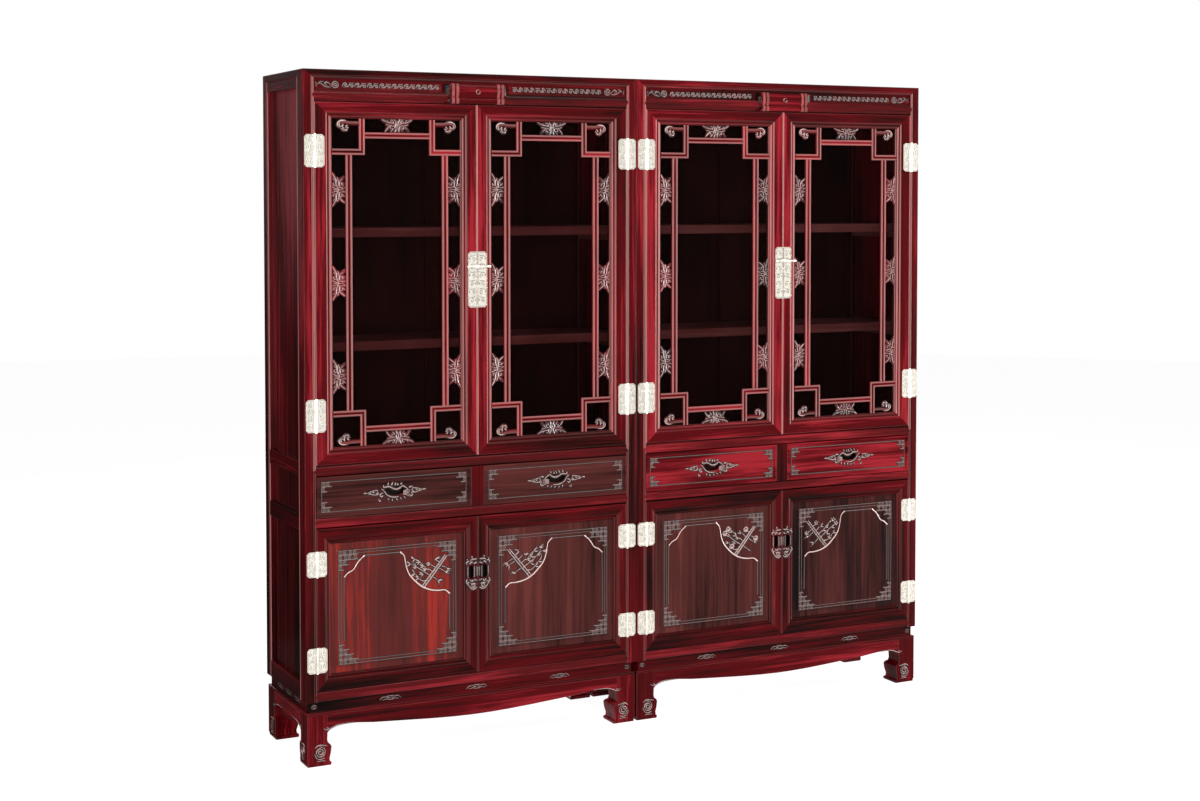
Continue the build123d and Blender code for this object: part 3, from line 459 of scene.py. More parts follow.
class Piece:
    """A mesh that grows part by part and ends as one object on a body of the frame."""

    def __init__(self, name, body, finish, replaces=()):
        self.name, self.body, self.finish, self.replaced = name, body, finish, replaces
        self.whole = bmesh.new()
        self.whole.verts.layers.float_color.new("board")
        self.whole.verts.layers.float.new("tone")
        self.whole.faces.layers.float.new("rubbed_highlight")
        self.random = random.Random(name)

    def add(self, part, place=Matrix(), grain=None, tone=0.0, rubbed_highlight=None):
        """Takes in a part, a bmesh or a mesh to copy. Its grain runs along its longest side if none is given.

        The tone is a number, or a function of a point in metres."""
        if isinstance(part, bpy.types.Mesh):
            source, part = part, bmesh.new()
            part.from_mesh(source)
        bmesh.ops.transform(part, matrix=place, verts=part.verts)
        if place.determinant() < 0:
            bmesh.ops.reverse_faces(part, faces=part.faces)
        grain = grain or longest_way(part)
        number = self.random.random()
        for group in (part.loops.layers.uv, part.loops.layers.float_vector, part.edges.layers.bool,
                      part.faces.layers.bool):
            for layer in list(group.values()):
                group.remove(layer)
        board = part.verts.layers.float_color.get("board") or part.verts.layers.float_color.new("board")
        shade = part.verts.layers.float.get("tone") or part.verts.layers.float.new("tone")
        for vert in part.verts:
            vert[board] = (*grain, number)
            vert[shade] += tone(vert.co) if callable(tone) else tone
        worn_highlight = part.faces.layers.float.get("rubbed_highlight") or part.faces.layers.float.new("rubbed_highlight")
        if rubbed_highlight is not None:
            for face in part.faces:
                face[worn_highlight] = rubbed_highlight
        carrier = bpy.data.meshes.new("carrier")
        part.to_mesh(carrier)
        part.free()
        self.whole.from_mesh(carrier)
        bpy.data.meshes.remove(carrier)

    def finished(self, flat_faces=True):
        """The object, in place on its body, with the nodes that it stands for hidden."""
        mesh = bpy.data.meshes.new(self.name)
        self.whole.to_mesh(mesh)
        self.whole.free()
        mesh.shade_smooth()
        mesh.set_sharp_from_angle(angle=SMOOTH_ANGLE)
        mesh.materials.append(material(self.finish))
        piece = bpy.data.objects.new(self.name, mesh)
        bpy.context.scene.collection.objects.link(piece)
        if flat_faces:
            normals = piece.modifiers.new("flat faces", "WEIGHTED_NORMAL")
            normals.keep_sharp = True
        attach(piece, self.body)
        if self.replaced:
            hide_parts(*self.replaced)
        return piece


def spans_of(part):
    """Size of a part along x, y and z."""
    return [max(v.co[axis] for v in part.verts) - min(v.co[axis] for v in part.verts) for axis in range(3)]


def longest_way(part):
    spans = spans_of(part)
    return GRAIN["xyz"[spans.index(max(spans))]]


def body_of(node):
    return next(name for name, nodes in frame["record"]["behaviour"]["bodies"].items() if node in nodes)


def solids_of(node):
    """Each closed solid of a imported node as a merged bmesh.

    The triangles of one solid follow each other, and it is whole once every edge has met its other side."""
    mesh = frame["nodes"][node].data
    keys = [tuple(round(value / MM, 3) for value in vertex.co) for vertex in mesh.vertices]
    solids, waiting = [[]], set()
    for face in mesh.polygons:
        corners = [keys[index] for index in face.vertices]
        solids[-1].append(face.vertices[:])
        for edge in zip(corners, corners[1:] + corners[:1]):
            if edge[::-1] in waiting:
                waiting.discard(edge[::-1])
            else:
                waiting.add(edge)
        if not waiting:
            solids.append([])
    for faces in solids:
        if faces:
            part = bmesh.new()
            used = {index: part.verts.new(mesh.vertices[index].co) for face in faces for index in face}
            for face in faces:
                part.faces.new([used[index] for index in face])
            bmesh.ops.remove_doubles(part, verts=part.verts, dist=WELD * MM)
            bmesh.ops.dissolve_limit(part, angle_limit=math.radians(FLAT_ANGLE), verts=part.verts,
                                     edges=part.edges)
            yield part


def wear_and_highlight_crests(part, wear_and_highlight, lying):
    """Paints narrow faces along outward turns with wearing and a painted highlight, and lying ones with a
    share of that.

    The amount is a number, or a function of a point in metres."""
    worn_highlight = part.faces.layers.float.new("rubbed_highlight")
    for face in part.faces:
        longest = max(edge.calc_length() for edge in face.edges)
        if face.calc_area() > NARROW * MM * longest:
            continue
        sides = [edge for edge in face.edges
                 if edge.is_manifold and edge.calc_length() > longest * SIDE_SHARE]
        turned = sum(edge.calc_face_angle_signed(0) for edge in sides)
        if turned <= 0:
            continue
        run = max(sides, key=lambda edge: edge.calc_length())
        upright = abs((run.verts[1].co - run.verts[0].co).normalized().z)
        share = wear_and_highlight(face.calc_center_median()) if callable(wear_and_highlight) else wear_and_highlight
        face[worn_highlight] = share * min(1, turned / FULL_TURN) * (lying + (1 - lying) * upright)


def shade_hollows(part):
    """Paints shade along a bar's inward turns and a little painted highlight along its outward ones."""
    shade = part.verts.layers.float.new("tone")
    for vert in part.verts:
        turned = sum(edge.calc_face_angle_signed(0) for edge in vert.link_edges)
        vert[shade] = max(-HOLLOW_SHADE, min(CREST_LIGHT, turned))


def soften(part, radius, segments=2, wear_and_highlight=EDGE_WEAR_AND_HIGHLIGHT, lying=LYING_HIGHLIGHT_SHARE):
    """Rounds the sharp outward edges of a part, and only the long ones where the part is a bar. It paints
    narrow crests with wearing and a painted highlight, and a thin bar's hollows with painted shade.
    """
    spans = sorted(spans_of(part))
    way = Vector(longest_way(part))
    bar = spans[2] > BAR_RATIO * spans[1]
    edges = []
    for edge in part.edges:
        if not edge.is_manifold or edge.calc_face_angle_signed(0) < SMOOTH_ANGLE:
            continue
        run = (edge.verts[1].co - edge.verts[0].co).normalized()
        if not bar or abs(run.dot(way)) > ALONG:
            edges.append(edge)
    if edges:
        bmesh.ops.bevel(part, geom=edges, offset=radius, offset_type="OFFSET", segments=segments,
                        profile=0.5, affect="EDGES", clamp_overlap=True, material=-1)
    wear_and_highlight_crests(part, wear_and_highlight, lying)
    if spans[2] > THIN_BAR_RATIO * spans[1]:
        shade_hollows(part)


def hollow_shade_tone(tone, corner, opposite):
    """Tone of a board with painted shade inside a box between two corners."""
    low = [min(pair) for pair in zip(corner, opposite)]
    high = [max(pair) for pair in zip(corner, opposite)]

    def tone_at(point):
        inside = all(low[axis] < point[axis] < high[axis] for axis in range(3))
        return HOLLOW_SHADE_TONE if inside else tone

    return tone_at


def dress(node, finish, radius=None, grain=None, tone=0.0, wanted=None, wear_and_highlight=EDGE_WEAR_AND_HIGHLIGHT, shape=None,
          segments=2, rail_tone=None, lying=LYING_HIGHLIGHT_SHARE):
    """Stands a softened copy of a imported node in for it, board by board.

    Boards that lie along the front have the rail tone where it is given."""
    sizes = bpy.context.scene.cabinet_sizes
    piece = Piece(node + "_finished", body_of(node), finish, (node,))
    for part in solids_of(node):
        if wanted and not wanted(part):
            part.free()
            continue
        if shape:
            shape(part)
        soften(part, radius(part) if callable(radius) else radius or sizes.edge, segments, wear_and_highlight, lying)
        rail = rail_tone is not None and longest_way(part) == GRAIN["x"]
        piece.add(part, grain=grain and GRAIN[grain], tone=rail_tone if rail else tone)
    return piece


# ---- carving ----

# drawn flat, the tops of the ridges and their upper left sides are painted pale: a painted highlight, as if
# lit from the upper left
HIGHLIGHT_WAY = Vector((-0.4, 0.5, 0.77)).normalized()
HIGHLIGHT_FROM = 0.60
HIGHLIGHT_SPAN = 0.30
OUTWARD = Vector((0, 0, 1))
# degrees from one point of a curl to the next
CURL_STEP = 45


def width_at(widths, share):
    """Half-width of a stroke at a share of its length, between the given half-widths."""
    if isinstance(widths, (int, float)):
        return widths
    place = share * (len(widths) - 1)
    number = min(int(place), len(widths) - 2)
    return widths[number] + (widths[number + 1] - widths[number]) * (place - number)


def polar(middle, angle, reach):
    """Point at an angle, in degrees, and a distance from a middle."""
    turn = math.radians(angle)
    return (middle[0] + reach * math.cos(turn), middle[1] + reach * math.sin(turn))


class Carving:
    """Rounded ridges drawn flat, in millimetres to the right of and above a middle point."""

    def __init__(self, weight=1.0, sides=1):
        self.weight = weight
        self.curve = bpy.data.curves.new("carving", "CURVE")
        self.curve.dimensions = "3D"
        self.curve.bevel_depth = 1.0
        self.curve.bevel_resolution = sides
        self.curve.resolution_u = 3
        self.curve.use_fill_caps = True

    def stroke(self, points, widths, straight=False, closed=False):
        """Ridge along points, with one half-width or several spread along it."""
        spline = self.curve.splines.new("POLY" if straight else "NURBS")
        spline.points.add(len(points) - 1)
        for number, (point, place) in enumerate(zip(spline.points, points)):
            point.co = (*place, 0, 1)
            point.radius = self.weight * width_at(widths, number / (len(points) - 1))
        spline.use_cyclic_u = closed
        if not straight:
            spline.order_u = 3
            spline.use_endpoint_u = not closed

    def both(self, points, widths, **options):
        """The same stroke on the right and, mirrored, on the left."""
        self.stroke(points, widths, **options)
        self.stroke([(-u, v) for u, v in points], widths, **options)

    def ring(self, middle, radius, width, points=10):
        self.stroke([polar(middle, 360 * k / points, radius) for k in range(points)], width, closed=True)

    def spiral(self, middle, radii, start, turn, widths):
        """Curl from the outer to the inner radius, over turn degrees from the start angle."""
        steps = max(5, round(abs(turn) / CURL_STEP))
        outer, inner = radii
        points = [polar(middle, start + turn * k / steps, outer + (inner - outer) * k / steps)
                  for k in range(steps + 1)]
        self.stroke(points, widths)

    def leaf(self, root, angle, length, width, bend=0.0):
        """Leaf that leaves its root at an angle and bends aside by a share of its length."""
        middle = polar(polar(root, angle, length * 0.5), angle + 90, bend * length)
        self.stroke([root, polar(root, angle, length * 0.2), middle, polar(root, angle, length)],
                    (width * 0.3, width, width * 0.9, 0.15))

    def blossom(self, middle, radius, petals=5, turn=90.0):
        """Open flower of round petals about a raised heart."""
        for k in range(petals):
            angle = turn + 360 * k / petals
            tip = polar(middle, angle, radius)
            self.stroke([polar(middle, angle, radius * 0.3), polar(middle, angle, radius * 0.7), tip],
                        (radius * 0.16, radius * 0.34, radius * 0.20))
        self.ring(middle, radius * 0.22, radius * 0.12, points=6)

    def pressed(self, relief):
        """The strokes as closed ridges pressed flat to their relief."""
        drawn = bpy.data.objects.new("carving", self.curve)
        made = bpy.data.meshes.new_from_object(drawn)
        part = bmesh.new()
        part.from_mesh(made)
        bpy.data.objects.remove(drawn)
        bpy.data.meshes.remove(made)
        bmesh.ops.scale(part, vec=(1, 1, relief), verts=part.verts)
        bmesh.ops.recalc_face_normals(part, faces=part.faces)
        return part

    def mesh(self, relief=None, wear_and_highlight=CARVING_WEAR_AND_HIGHLIGHT, halo=0.0, highlight_way=HIGHLIGHT_WAY, ground=HALO_RELIEF):
        """The strokes as one mesh, with a painted highlight on the sides that face the highlight way.

        A halo, in millimetres, leaves a low strip on both sides of each stroke, pressed flat to the relief of
        the ground. It takes the piece's tone, so where that tone is dark, the strip and the unlit sides of
        the ridges are painted shade."""
        part = self.pressed(relief or bpy.context.scene.cabinet_sizes.relief)
        worn_highlight = part.faces.layers.float.new("rubbed_highlight")
        for face in part.faces:
            face[worn_highlight] = wear_and_highlight * max(0, min(1, (face.normal.dot(highlight_way) - HIGHLIGHT_FROM) / HIGHLIGHT_SPAN))
        made = bpy.data.meshes.new("carving")
        part.to_mesh(made)
        part.free()
        if halo:
            for spline in self.curve.splines:
                for point in spline.points:
                    point.radius += halo
            self.curve.bevel_resolution = 0
            low = self.pressed(ground)
            low.from_mesh(made)
            low.to_mesh(made)
            low.free()
        bpy.data.curves.remove(self.curve)
        return made


def on_front(x, z, depth, turn=0.0, stretch=(1, 1)):
    """Place of a flat drawing on a front face at a depth, turned and stretched about its middle."""
    size = Matrix.Diagonal((*stretch, 1, 1))
    return Matrix.Translation((x, depth, z)) @ TO_FRONT @ Matrix.Rotation(math.radians(turn), 4, "Z") @ size


def on_left_side(y, z, depth):
    """Place of a flat drawing on the left side face at a depth."""
    return Matrix.Translation((depth, y, z)) @ TO_LEFT_SIDE


# ---- carcass ----

class BookCabinetOperator:
    """Options that all the operators share."""
    bl_options = {"REGISTER", "UNDO"}


POST_EDGE = 2.2 * MM
# wear and painted highlight of a post's edges towards the doors, the height below which they have only a
# share of it, and the painted highlight beside the side panels
POST_WEAR_AND_HIGHLIGHT = 0.5
LOW_POST = 880.0
LOW_POST_SHARE = 0.3
SIDE_POST_WEAR_AND_HIGHLIGHT = {"left_unit": 0.75, "right_unit": 0.3}
# metres within which an edge lies on an outer face, and within which a post is one of the middle ones
OUTER_EDGE = 0.004
MIDDLE_POSTS = 0.04
# tones of the posts and the side panels at the floor, and what each metre of height adds to them; on the side
# panels that rise is painted light
POST_TONE = -0.4
MIDDLE_POST_TONE = -0.15
POST_TONE_RISE = 0.2
SIDE_PANEL_TONE = -0.8
SIDE_PANEL_LIGHT_RISE = 0.75
FRAME_TONE = -0.2
DIVIDER_TONE = -0.3
# wear and painted highlight of the drawer dividers' edges
DIVIDER_WEAR_AND_HIGHLIGHT = 0.2
# the right cabinet's shelves are lighter still: painted light
SHELF_LIGHT_TONES = {"left_unit": 0.0, "right_unit": 0.5}


def post_wear_and_highlight(point):
    """Wear and painted highlight of a post's edges: none along the outer corners of the cabinets, much beside
    the side panels.
    """
    inset = min(abs(point.x - CAD_BOX[0].x), abs(point.x), abs(point.x - CAD_BOX[1].x))
    ends = min(abs(point.y - FRONT), abs(point.y - FRONT - DEPTH * MM))
    if inset > OUTER_EDGE:
        return POST_WEAR_AND_HIGHLIGHT * (1.0 if point.z > LOW_POST * MM else LOW_POST_SHARE)
    if ends < OUTER_EDGE:
        return 0.0
    return SIDE_POST_WEAR_AND_HIGHLIGHT[unit_at(point)]


def post_tone(point):
    """Tone of the posts: lighter towards the top, and where the two cabinets meet."""
    return POST_TONE_RISE * point.z + (MIDDLE_POST_TONE if abs(point.x) < MIDDLE_POSTS else POST_TONE)


# painted light: the side panels get lighter towards the top
def side_panel_tone(point):
    return SIDE_PANEL_LIGHT_RISE * point.z + SIDE_PANEL_TONE


def shelf_tone(point):
    return SHELF_LIGHT_TONES[unit_at(point)]


def cut_post(part):
    """Cuts a post's faces across at the drawers, so that it can have less wear and painted highlight below.
    """
    bmesh.ops.bisect_plane(part, geom=part.verts[:] + part.edges[:] + part.faces[:],
                           plane_co=(0, 0, LOW_POST * MM), plane_no=UP)


class BOOKCABINET_OT_carcass(BookCabinetOperator, bpy.types.Operator):
    """Posts, side and back frames, top, floors and shelves"""
    bl_idname = "bookcabinet.carcass"
    bl_label = "Carcass"

    def execute(self, context):
        dress("corner_posts", "rosewood", radius=POST_EDGE, tone=post_tone, wear_and_highlight=post_wear_and_highlight,
              shape=cut_post, segments=3).finished()
        for node in ("top_frames", "side_rails"):
            dress(node, "rosewood", tone=FRAME_TONE).finished()
        dress("drawer_dividers", "rosewood", grain="z", tone=DIVIDER_TONE, wear_and_highlight=DIVIDER_WEAR_AND_HIGHLIGHT).finished()
        dress("side_panels", "rosewood", grain="z", tone=side_panel_tone).finished()
        dress("back_panels", "plain_inside_wood", grain="z").finished()
        dress("shelves", "shelf_wood", tone=shelf_tone).finished()
        for node in ("back_rails", "top_panels", "decks", "drawer_runners"):
            dress(node, "plain_inside_wood").finished()
        return {"FINISHED"}


BEAM_EDGE = 10 * MM
RAIL_EDGE = 3 * MM
BEAM_LEVEL = 0.9 * HEIGHT
# metres between which the sills lie, and the tones of the sills and of the bottom rails below them; the right
# cabinet's sills are lighter as painted light
SILLS = (0.5, 1.2)
SILL_TONES = {"left_unit": 0.1, "right_unit": 0.2}
BOTTOM_RAIL_TONE = -0.3


def rail_edge(part):
    """Rounding of a front rail: the cornice beam is nearly half round."""
    return BEAM_EDGE if min(vert.co.z for vert in part.verts) > BEAM_LEVEL * MM else RAIL_EDGE


def front_rail_tone(point):
    """Tone of a front rail: the sills are the lightest, the bottom rails the darkest."""
    bottom, top = SILLS
    if point.z > top:
        return 0.0
    if point.z > bottom:
        return SILL_TONES[unit_at(point)]
    return BOTTOM_RAIL_TONE


class BOOKCABINET_OT_front_rails(BookCabinetOperator, bpy.types.Operator):
    """Bottom rail, sills and cornice beam"""
    bl_idname = "bookcabinet.front_rails"
    bl_label = "Front rails"

    def execute(self, context):
        dress("front_rails", "rosewood", radius=rail_edge, tone=front_rail_tone, segments=5).finished()
        return {"FINISHED"}


# ---- cornice ----

FRIEZE_TONE = -0.35
FRIEZE_MIDDLE = 2015.0
FRIEZE_WAVES = (124.0, 432.0)
WAVE_LENGTH = 38.5
WAVE_HEIGHT = 6.0
WAVE_CURL = (5.4, 1.6)
PEARL_X = 102.0
PEARL_RADIUS = 9.5
PEARL_HEART = 0.45
# the running cloud's lines: how heavy they are, their wear and painted highlight, their low ground, and their
# tone, which paints shade on that ground and on their unlit sides
CLOUD_WEIGHT = 1.15
CLOUD_WEAR_AND_HIGHLIGHT = 0.62
CLOUD_HALO = 1.8
CLOUD_SHADE_TONE = -0.75


def wave_unit():
    """One scroll up and one scroll down of the running cloud."""
    drawing = Carving(weight=CLOUD_WEIGHT)
    reach, quarter = WAVE_HEIGHT, WAVE_LENGTH / 4
    for way, start in ((-1, 250), (1, 70)):
        drawing.spiral((way * quarter, -way * 2.2), WAVE_CURL, start, -430, (1.0, 1.7, 1.9, 1.5))
    drawing.stroke([(-quarter * 1.2, -2.8), (-quarter * 0.4, -5), (quarter * 0.2, 0), (quarter * 0.5, 3)],
                   1.4)
    drawing.stroke([(-quarter * 2, -reach), (-quarter * 1.9, 0), (-quarter * 1.6, reach)], (0.8, 1.6, 0.8))
    drawing.stroke([(quarter * 0.1, reach), (quarter * 0.9, reach * 0.8), (quarter * 1.7, reach)],
                   (0.8, 1.5, 0.8))
    drawing.stroke([(-quarter * 1.5, -reach), (-quarter * 0.7, -reach), (0, -reach * 0.9)], (0.8, 1.5, 0.8))
    return drawing.mesh(wear_and_highlight=CLOUD_WEAR_AND_HIGHLIGHT, halo=CLOUD_HALO)


def frieze_end():
    """Pearl and cloud at the outer end of the running cloud."""
    drawing = Carving(weight=CLOUD_WEIGHT)
    drawing.ring((0, 0), PEARL_RADIUS, 1.5, points=12)
    drawing.ring((0, 0), PEARL_RADIUS * PEARL_HEART, 1.6, points=8)
    drawing.stroke([(-11, -5), (-18, 4), (-26, 7), (-33, 3), (-30, -3), (-24, -2)],
                   (1.0, 2.2, 2.4, 1.6, 1.0))
    drawing.stroke([(-14, -7), (-24, -8), (-34, -5), (-42, 2), (-50, 5), (-54, 0)],
                   (1.0, 1.8, 1.6, 1.4, 0.8))
    drawing.stroke([(-36, 8), (-44, 9), (-49, 6)], (0.8, 1.6, 0.8))
    drawing.stroke([(-58, -8), (-57, 0), (-60, 8)], (0.6, 1.4, 0.6))
    return drawing.mesh(wear_and_highlight=CLOUD_WEAR_AND_HIGHLIGHT, halo=CLOUD_HALO)


class BOOKCABINET_OT_cornice(BookCabinetOperator, bpy.types.Operator):
    """Frieze board with its running cloud"""
    bl_idname = "bookcabinet.cornice"
    bl_label = "Frieze"

    def execute(self, context):
        dress("frieze_boards", "rosewood", tone=FRIEZE_TONE).finished()
        face = unit_box("frieze_boards")[0].y
        wave, end = wave_unit(), frieze_end()
        first, last = FRIEZE_WAVES
        count = round((last - first) / WAVE_LENGTH)
        drawings = [(first + WAVE_LENGTH * (k + 0.5), wave) for k in range(count)] + [(PEARL_X, end)]
        piece = Piece("frieze_carving", "root", "carved_rosewood")
        for unit in UNITS:
            for hand in HANDS:
                for x, drawing in drawings:
                    place = place_of(unit, hand) @ on_front(x, FRIEZE_MIDDLE, face)
                    piece.add(drawing, place, GRAIN["x"], CLOUD_SHADE_TONE)
        piece.finished()
        return {"FINISHED"}


# ---- scroll block ----

# the rolled scroll: how high the seam between its rolls lies as a share of its height, how far the rolls
# stand out, and the straight lines along each of them
SCROLL_SEAM = 0.31
ROLL_DEPTH = 4.0
ROLL_STEPS = 9
SCROLL_TONE = 0.15
# the collars: places from the middle, width, how far they stand out, rounding, tone, and wear with a painted
# highlight
COLLAR_MIDDLES = (-80.0, -66.0, 69.0, 83.0)
COLLAR_WIDTH = 9.0
COLLAR_RISE = 2.4
COLLAR_EDGE = 2.6
COLLAR_TONE = 0.5
COLLAR_WEAR_AND_HIGHLIGHT = 0.28
# the ends: how far they slant back, their rim, their hollow, and the coil and the stretch of its drawing
SCROLL_SLANT = 25.0
CUP_RIM = 3.0
CUP_DEPTH = 11.0
COIL_HEIGHT = 2005.0
COIL_STRETCH = (0.7, 1.1)
# wear and painted highlight of the coil
COIL_WEAR_AND_HIGHLIGHT = 0.45
BUTTON_PLACE = (MIDDLE + 2, 2003.0)


def scroll_section(low, high, back, face, rise=0.0):
    """Outline of the rolled scroll as (depth, height): a large roll over a small one."""
    seam = low + (high - low) * SCROLL_SEAM
    points = [(back, high + rise), (back, low - rise)]
    for start, end in ((low - rise, seam), (seam, high + rise)):
        middle, half = (start + end) / 2, (end - start) / 2
        for k in range(1, ROLL_STEPS):
            turn = math.pi * k / ROLL_STEPS
            depth = face + ROLL_DEPTH - (ROLL_DEPTH + rise) * math.sin(turn)
            points.append((depth, middle - half * math.cos(turn)))
        if end == seam:
            points.append((face + ROLL_DEPTH, seam))
    return points


def lengthwise_prism(section, start, end):
    """Solid with a section of (depth, height) that runs along x from start to end."""
    part = bmesh.new()
    face = part.faces.new([part.verts.new((start, y, z)) for y, z in section])
    bmesh.ops.extrude_face_region(part, geom=[face], use_keep_orig=True)
    part.verts.ensure_lookup_table()
    moved = part.verts[len(section):]
    bmesh.ops.translate(part, vec=(end - start, 0, 0), verts=moved)
    bmesh.ops.recalc_face_normals(part, faces=part.faces)
    return part


def cut(part, point, normal):
    """Takes away what lies beyond a plane and closes the cut. Returns the new face."""
    result = bmesh.ops.bisect_plane(part, geom=part.verts[:] + part.edges[:] + part.faces[:], plane_co=point,
                                    plane_no=normal, clear_outer=True)
    edges = [item for item in result["geom_cut"] if isinstance(item, bmesh.types.BMEdge)]
    return bmesh.ops.contextual_create(part, geom=edges)["faces"]


def end_normal(way, depth):
    """Outward normal of the scroll's left end, with a way of -1, or of its right end, with 1."""
    return Vector((way * depth, -SCROLL_SLANT, 0)).normalized()


def end_face(point, normal):
    """Place of a flat drawing at a point of an upright face with that outward normal."""
    right = UP.cross(normal)
    return Matrix.Translation(point) @ Matrix((right, UP, normal)).transposed().to_4x4()


def scroll_roll(box):
    """Body of the scroll with both ends cut slanted and hollowed, and the corners of both hollow floors."""
    (left, face, low), (right, back, high) = box
    part, floors = lengthwise_prism(scroll_section(low, high, back, face), left, right), []
    for end, way in ((left, -1), (right, 1)):
        caps = cut(part, (end, back, 0), end_normal(way, back - face))
        bmesh.ops.recalc_face_normals(part, faces=part.faces)
        bmesh.ops.inset_region(part, faces=caps, thickness=CUP_RIM, use_even_offset=True)
        floor = list({vert for cap in caps for vert in cap.verts})
        bmesh.ops.translate(part, vec=(-way * CUP_DEPTH, 0, 0), verts=floor)
        floors += [vert.co.copy() for vert in floor]
    return part, floors


def cup_shade_tone(place, floor):
    """Tone of the scroll, with painted shade on the floors of the hollows at its two ends."""
    back = place.inverted()

    def tone_at(point):
        near = any((back @ point - corner).length < WELD * 10 for corner in floor)
        return HOLLOW_SHADE_TONE if near else SCROLL_TONE

    return tone_at


def scroll_end():
    """Coil seen at the end of the scroll."""
    drawing = Carving()
    drawing.spiral((0, 0), (13.0, 2.5), 60, -760, (1.2, 1.9, 1.7, 1.4))
    return drawing.mesh(wear_and_highlight=COIL_WEAR_AND_HIGHLIGHT)


def scroll_button():
    """Open ring on the middle of the scroll."""
    drawing = Carving(sides=2)
    drawing.spiral((0, 0), (8.0, 6.6), 65, 285, (1.4, 2.4, 2.4, 1.5))
    drawing.stroke([(3.2, -1.2), (5.6, 1.2), (7.6, 1.6)], (1.4, 2.6, 1.2))
    return drawing.mesh()


class BOOKCABINET_OT_scroll_block(BookCabinetOperator, bpy.types.Operator):
    """Block like a rolled scroll on the middle of the cornice"""
    bl_idname = "bookcabinet.scroll_block"
    bl_label = "Scroll block"

    def execute(self, context):
        # the node's box reaches over both blocks, and a block stands in the middle of its cabinet
        low, high = unit_box("scroll_blocks")
        high.x = UNIT_WIDTH - low.x
        collar_section = scroll_section(low.z, high.z, high.y, low.y, COLLAR_RISE)
        button, coil = scroll_button(), scroll_end()
        piece = Piece("scroll_blocks_finished", "root", "rosewood", ("scroll_blocks",))
        for unit in UNITS:
            place = place_of(unit)
            roll, floors = scroll_roll((low, high))
            piece.add(roll, place, GRAIN["x"], cup_shade_tone(place, floors))
            for middle in COLLAR_MIDDLES:
                start = MIDDLE + middle - COLLAR_WIDTH / 2
                collar = lengthwise_prism(collar_section, start, start + COLLAR_WIDTH)
                soften(collar, COLLAR_EDGE, segments=3)
                piece.add(collar, place, GRAIN["x"], COLLAR_TONE, rubbed_highlight=COLLAR_WEAR_AND_HIGHLIGHT)
            piece.add(button, place @ on_front(*BUTTON_PLACE, low.y), GRAIN["x"], CARVING_SHADE_TONE)
            for end, way in ((low.x, -1), (high.x, 1)):
                point = (end - way * (SCROLL_SLANT / 2 + CUP_DEPTH), (low.y + high.y) / 2, COIL_HEIGHT)
                cup = end_face(point, end_normal(way, high.y - low.y))
                piece.add(coil, place @ cup @ Matrix.Diagonal((*COIL_STRETCH, 1, 1)), GRAIN["x"], HOLLOW_SHADE_TONE)
        piece.finished()
        return {"FINISHED"}


# ---- stand ----

STAND_EDGE = 1.6 * MM
LEG_EDGE = 2.2 * MM
# wear and painted highlight of the legs' edges
LEG_WEAR_AND_HIGHLIGHT = 0.3
# the recessed waist is darker: painted shade under the cabinet
WAIST_SHADE_TONE = -0.45
APRON_TONE = 0.1
# the outer left legs, further left than this in metres, are the lightest
LEFT_LEGS = -0.9
LEFT_LEG_TONE = 0.45
# an apron's under edge sags beyond its ears, by this drop at the end of a ramp
APRON_EAR = 60.0
APRON_RAMP = 90.0
APRON_DROP = 6.5
LEG_SCROLL = (44.0, 42.0)
LEG_SCROLL_RADII = (18.0, 3.0)
# clouds on the waist: their height, their places on the front from each side, with their stretch, and their
# places on the side
CLOUD_HEIGHT = 177.0
FRONT_CLOUDS = ((28, (0.25, 1)), (268, (1, 1)))
SIDE_CLOUDS = (120, 210, 290)


def leg_tone(point):
    return LEFT_LEG_TONE if point.x < LEFT_LEGS else 0.0


def fuller_apron(part):
    """Lowers the curved under edge of a long apron towards its middle."""
    low, high = [[pick(vert.co[axis] for vert in part.verts) for axis in range(3)] for pick in (min, max)]
    if high[0] - low[0] < 2 * APRON_EAR * MM:
        return
    for vert in part.verts:
        inset = min(vert.co.x - low[0], high[0] - vert.co.x) / MM - APRON_EAR
        if inset > 0 and vert.co.z < (low[2] + high[2]) / 2 + APRON_DROP * MM:
            vert.co.z -= APRON_DROP * MM * min(1, inset / APRON_RAMP)


def leg_scroll():
    """Spiral and cloud line on the hoof of a leg."""
    drawing = Carving()
    drawing.spiral(LEG_SCROLL, LEG_SCROLL_RADII, 100, -800, (1.2, 1.9, 1.9, 1.5))
    drawing.stroke([(28, 56), (34, 62), (44, 64), (56, 61), (66, 60)], (0.8, 1.9, 1.9, 0.9))
    drawing.stroke([(26, 40), (29, 30), (37, 22), (48, 20), (58, 24)], (0.7, 1.6, 1.7, 0.8))
    drawing.stroke([(34, 15), (46, 17), (60, 15)], (0.6, 1.3, 0.6))
    return drawing.mesh(wear_and_highlight=0.85, halo=1.2)


def ear_curl():
    """Small curl where the apron springs from the leg."""
    drawing = Carving()
    drawing.stroke([(54, 112), (60, 108), (66, 106), (70, 110), (67, 114), (63, 112)], (0.5, 1.4, 1.3, 0.7))
    drawing.stroke([(70, 106), (84, 114), (110, 120), (150, 119)], (1.3, 1.5, 1.3, 0.5))
    return drawing.mesh(wear_and_highlight=0.85, halo=1.0)


def waist_cloud():
    """Long panel of small clouds on the waist."""
    drawing = Carving()
    drawing.both([(0, 5), (8, 6), (14, 2), (22, 5), (30, 1), (34, -4)], (1.4, 1.0, 1.2, 0.6))
    drawing.both([(0, -5), (7, -6), (13, -2), (20, -5), (27, -4)], (1.2, 1.0, 0.5))
    drawing.both([(3, 0), (9, 1), (11, -2)], (1.4, 0.8))
    return drawing.mesh(wear_and_highlight=0.6, halo=1.2)


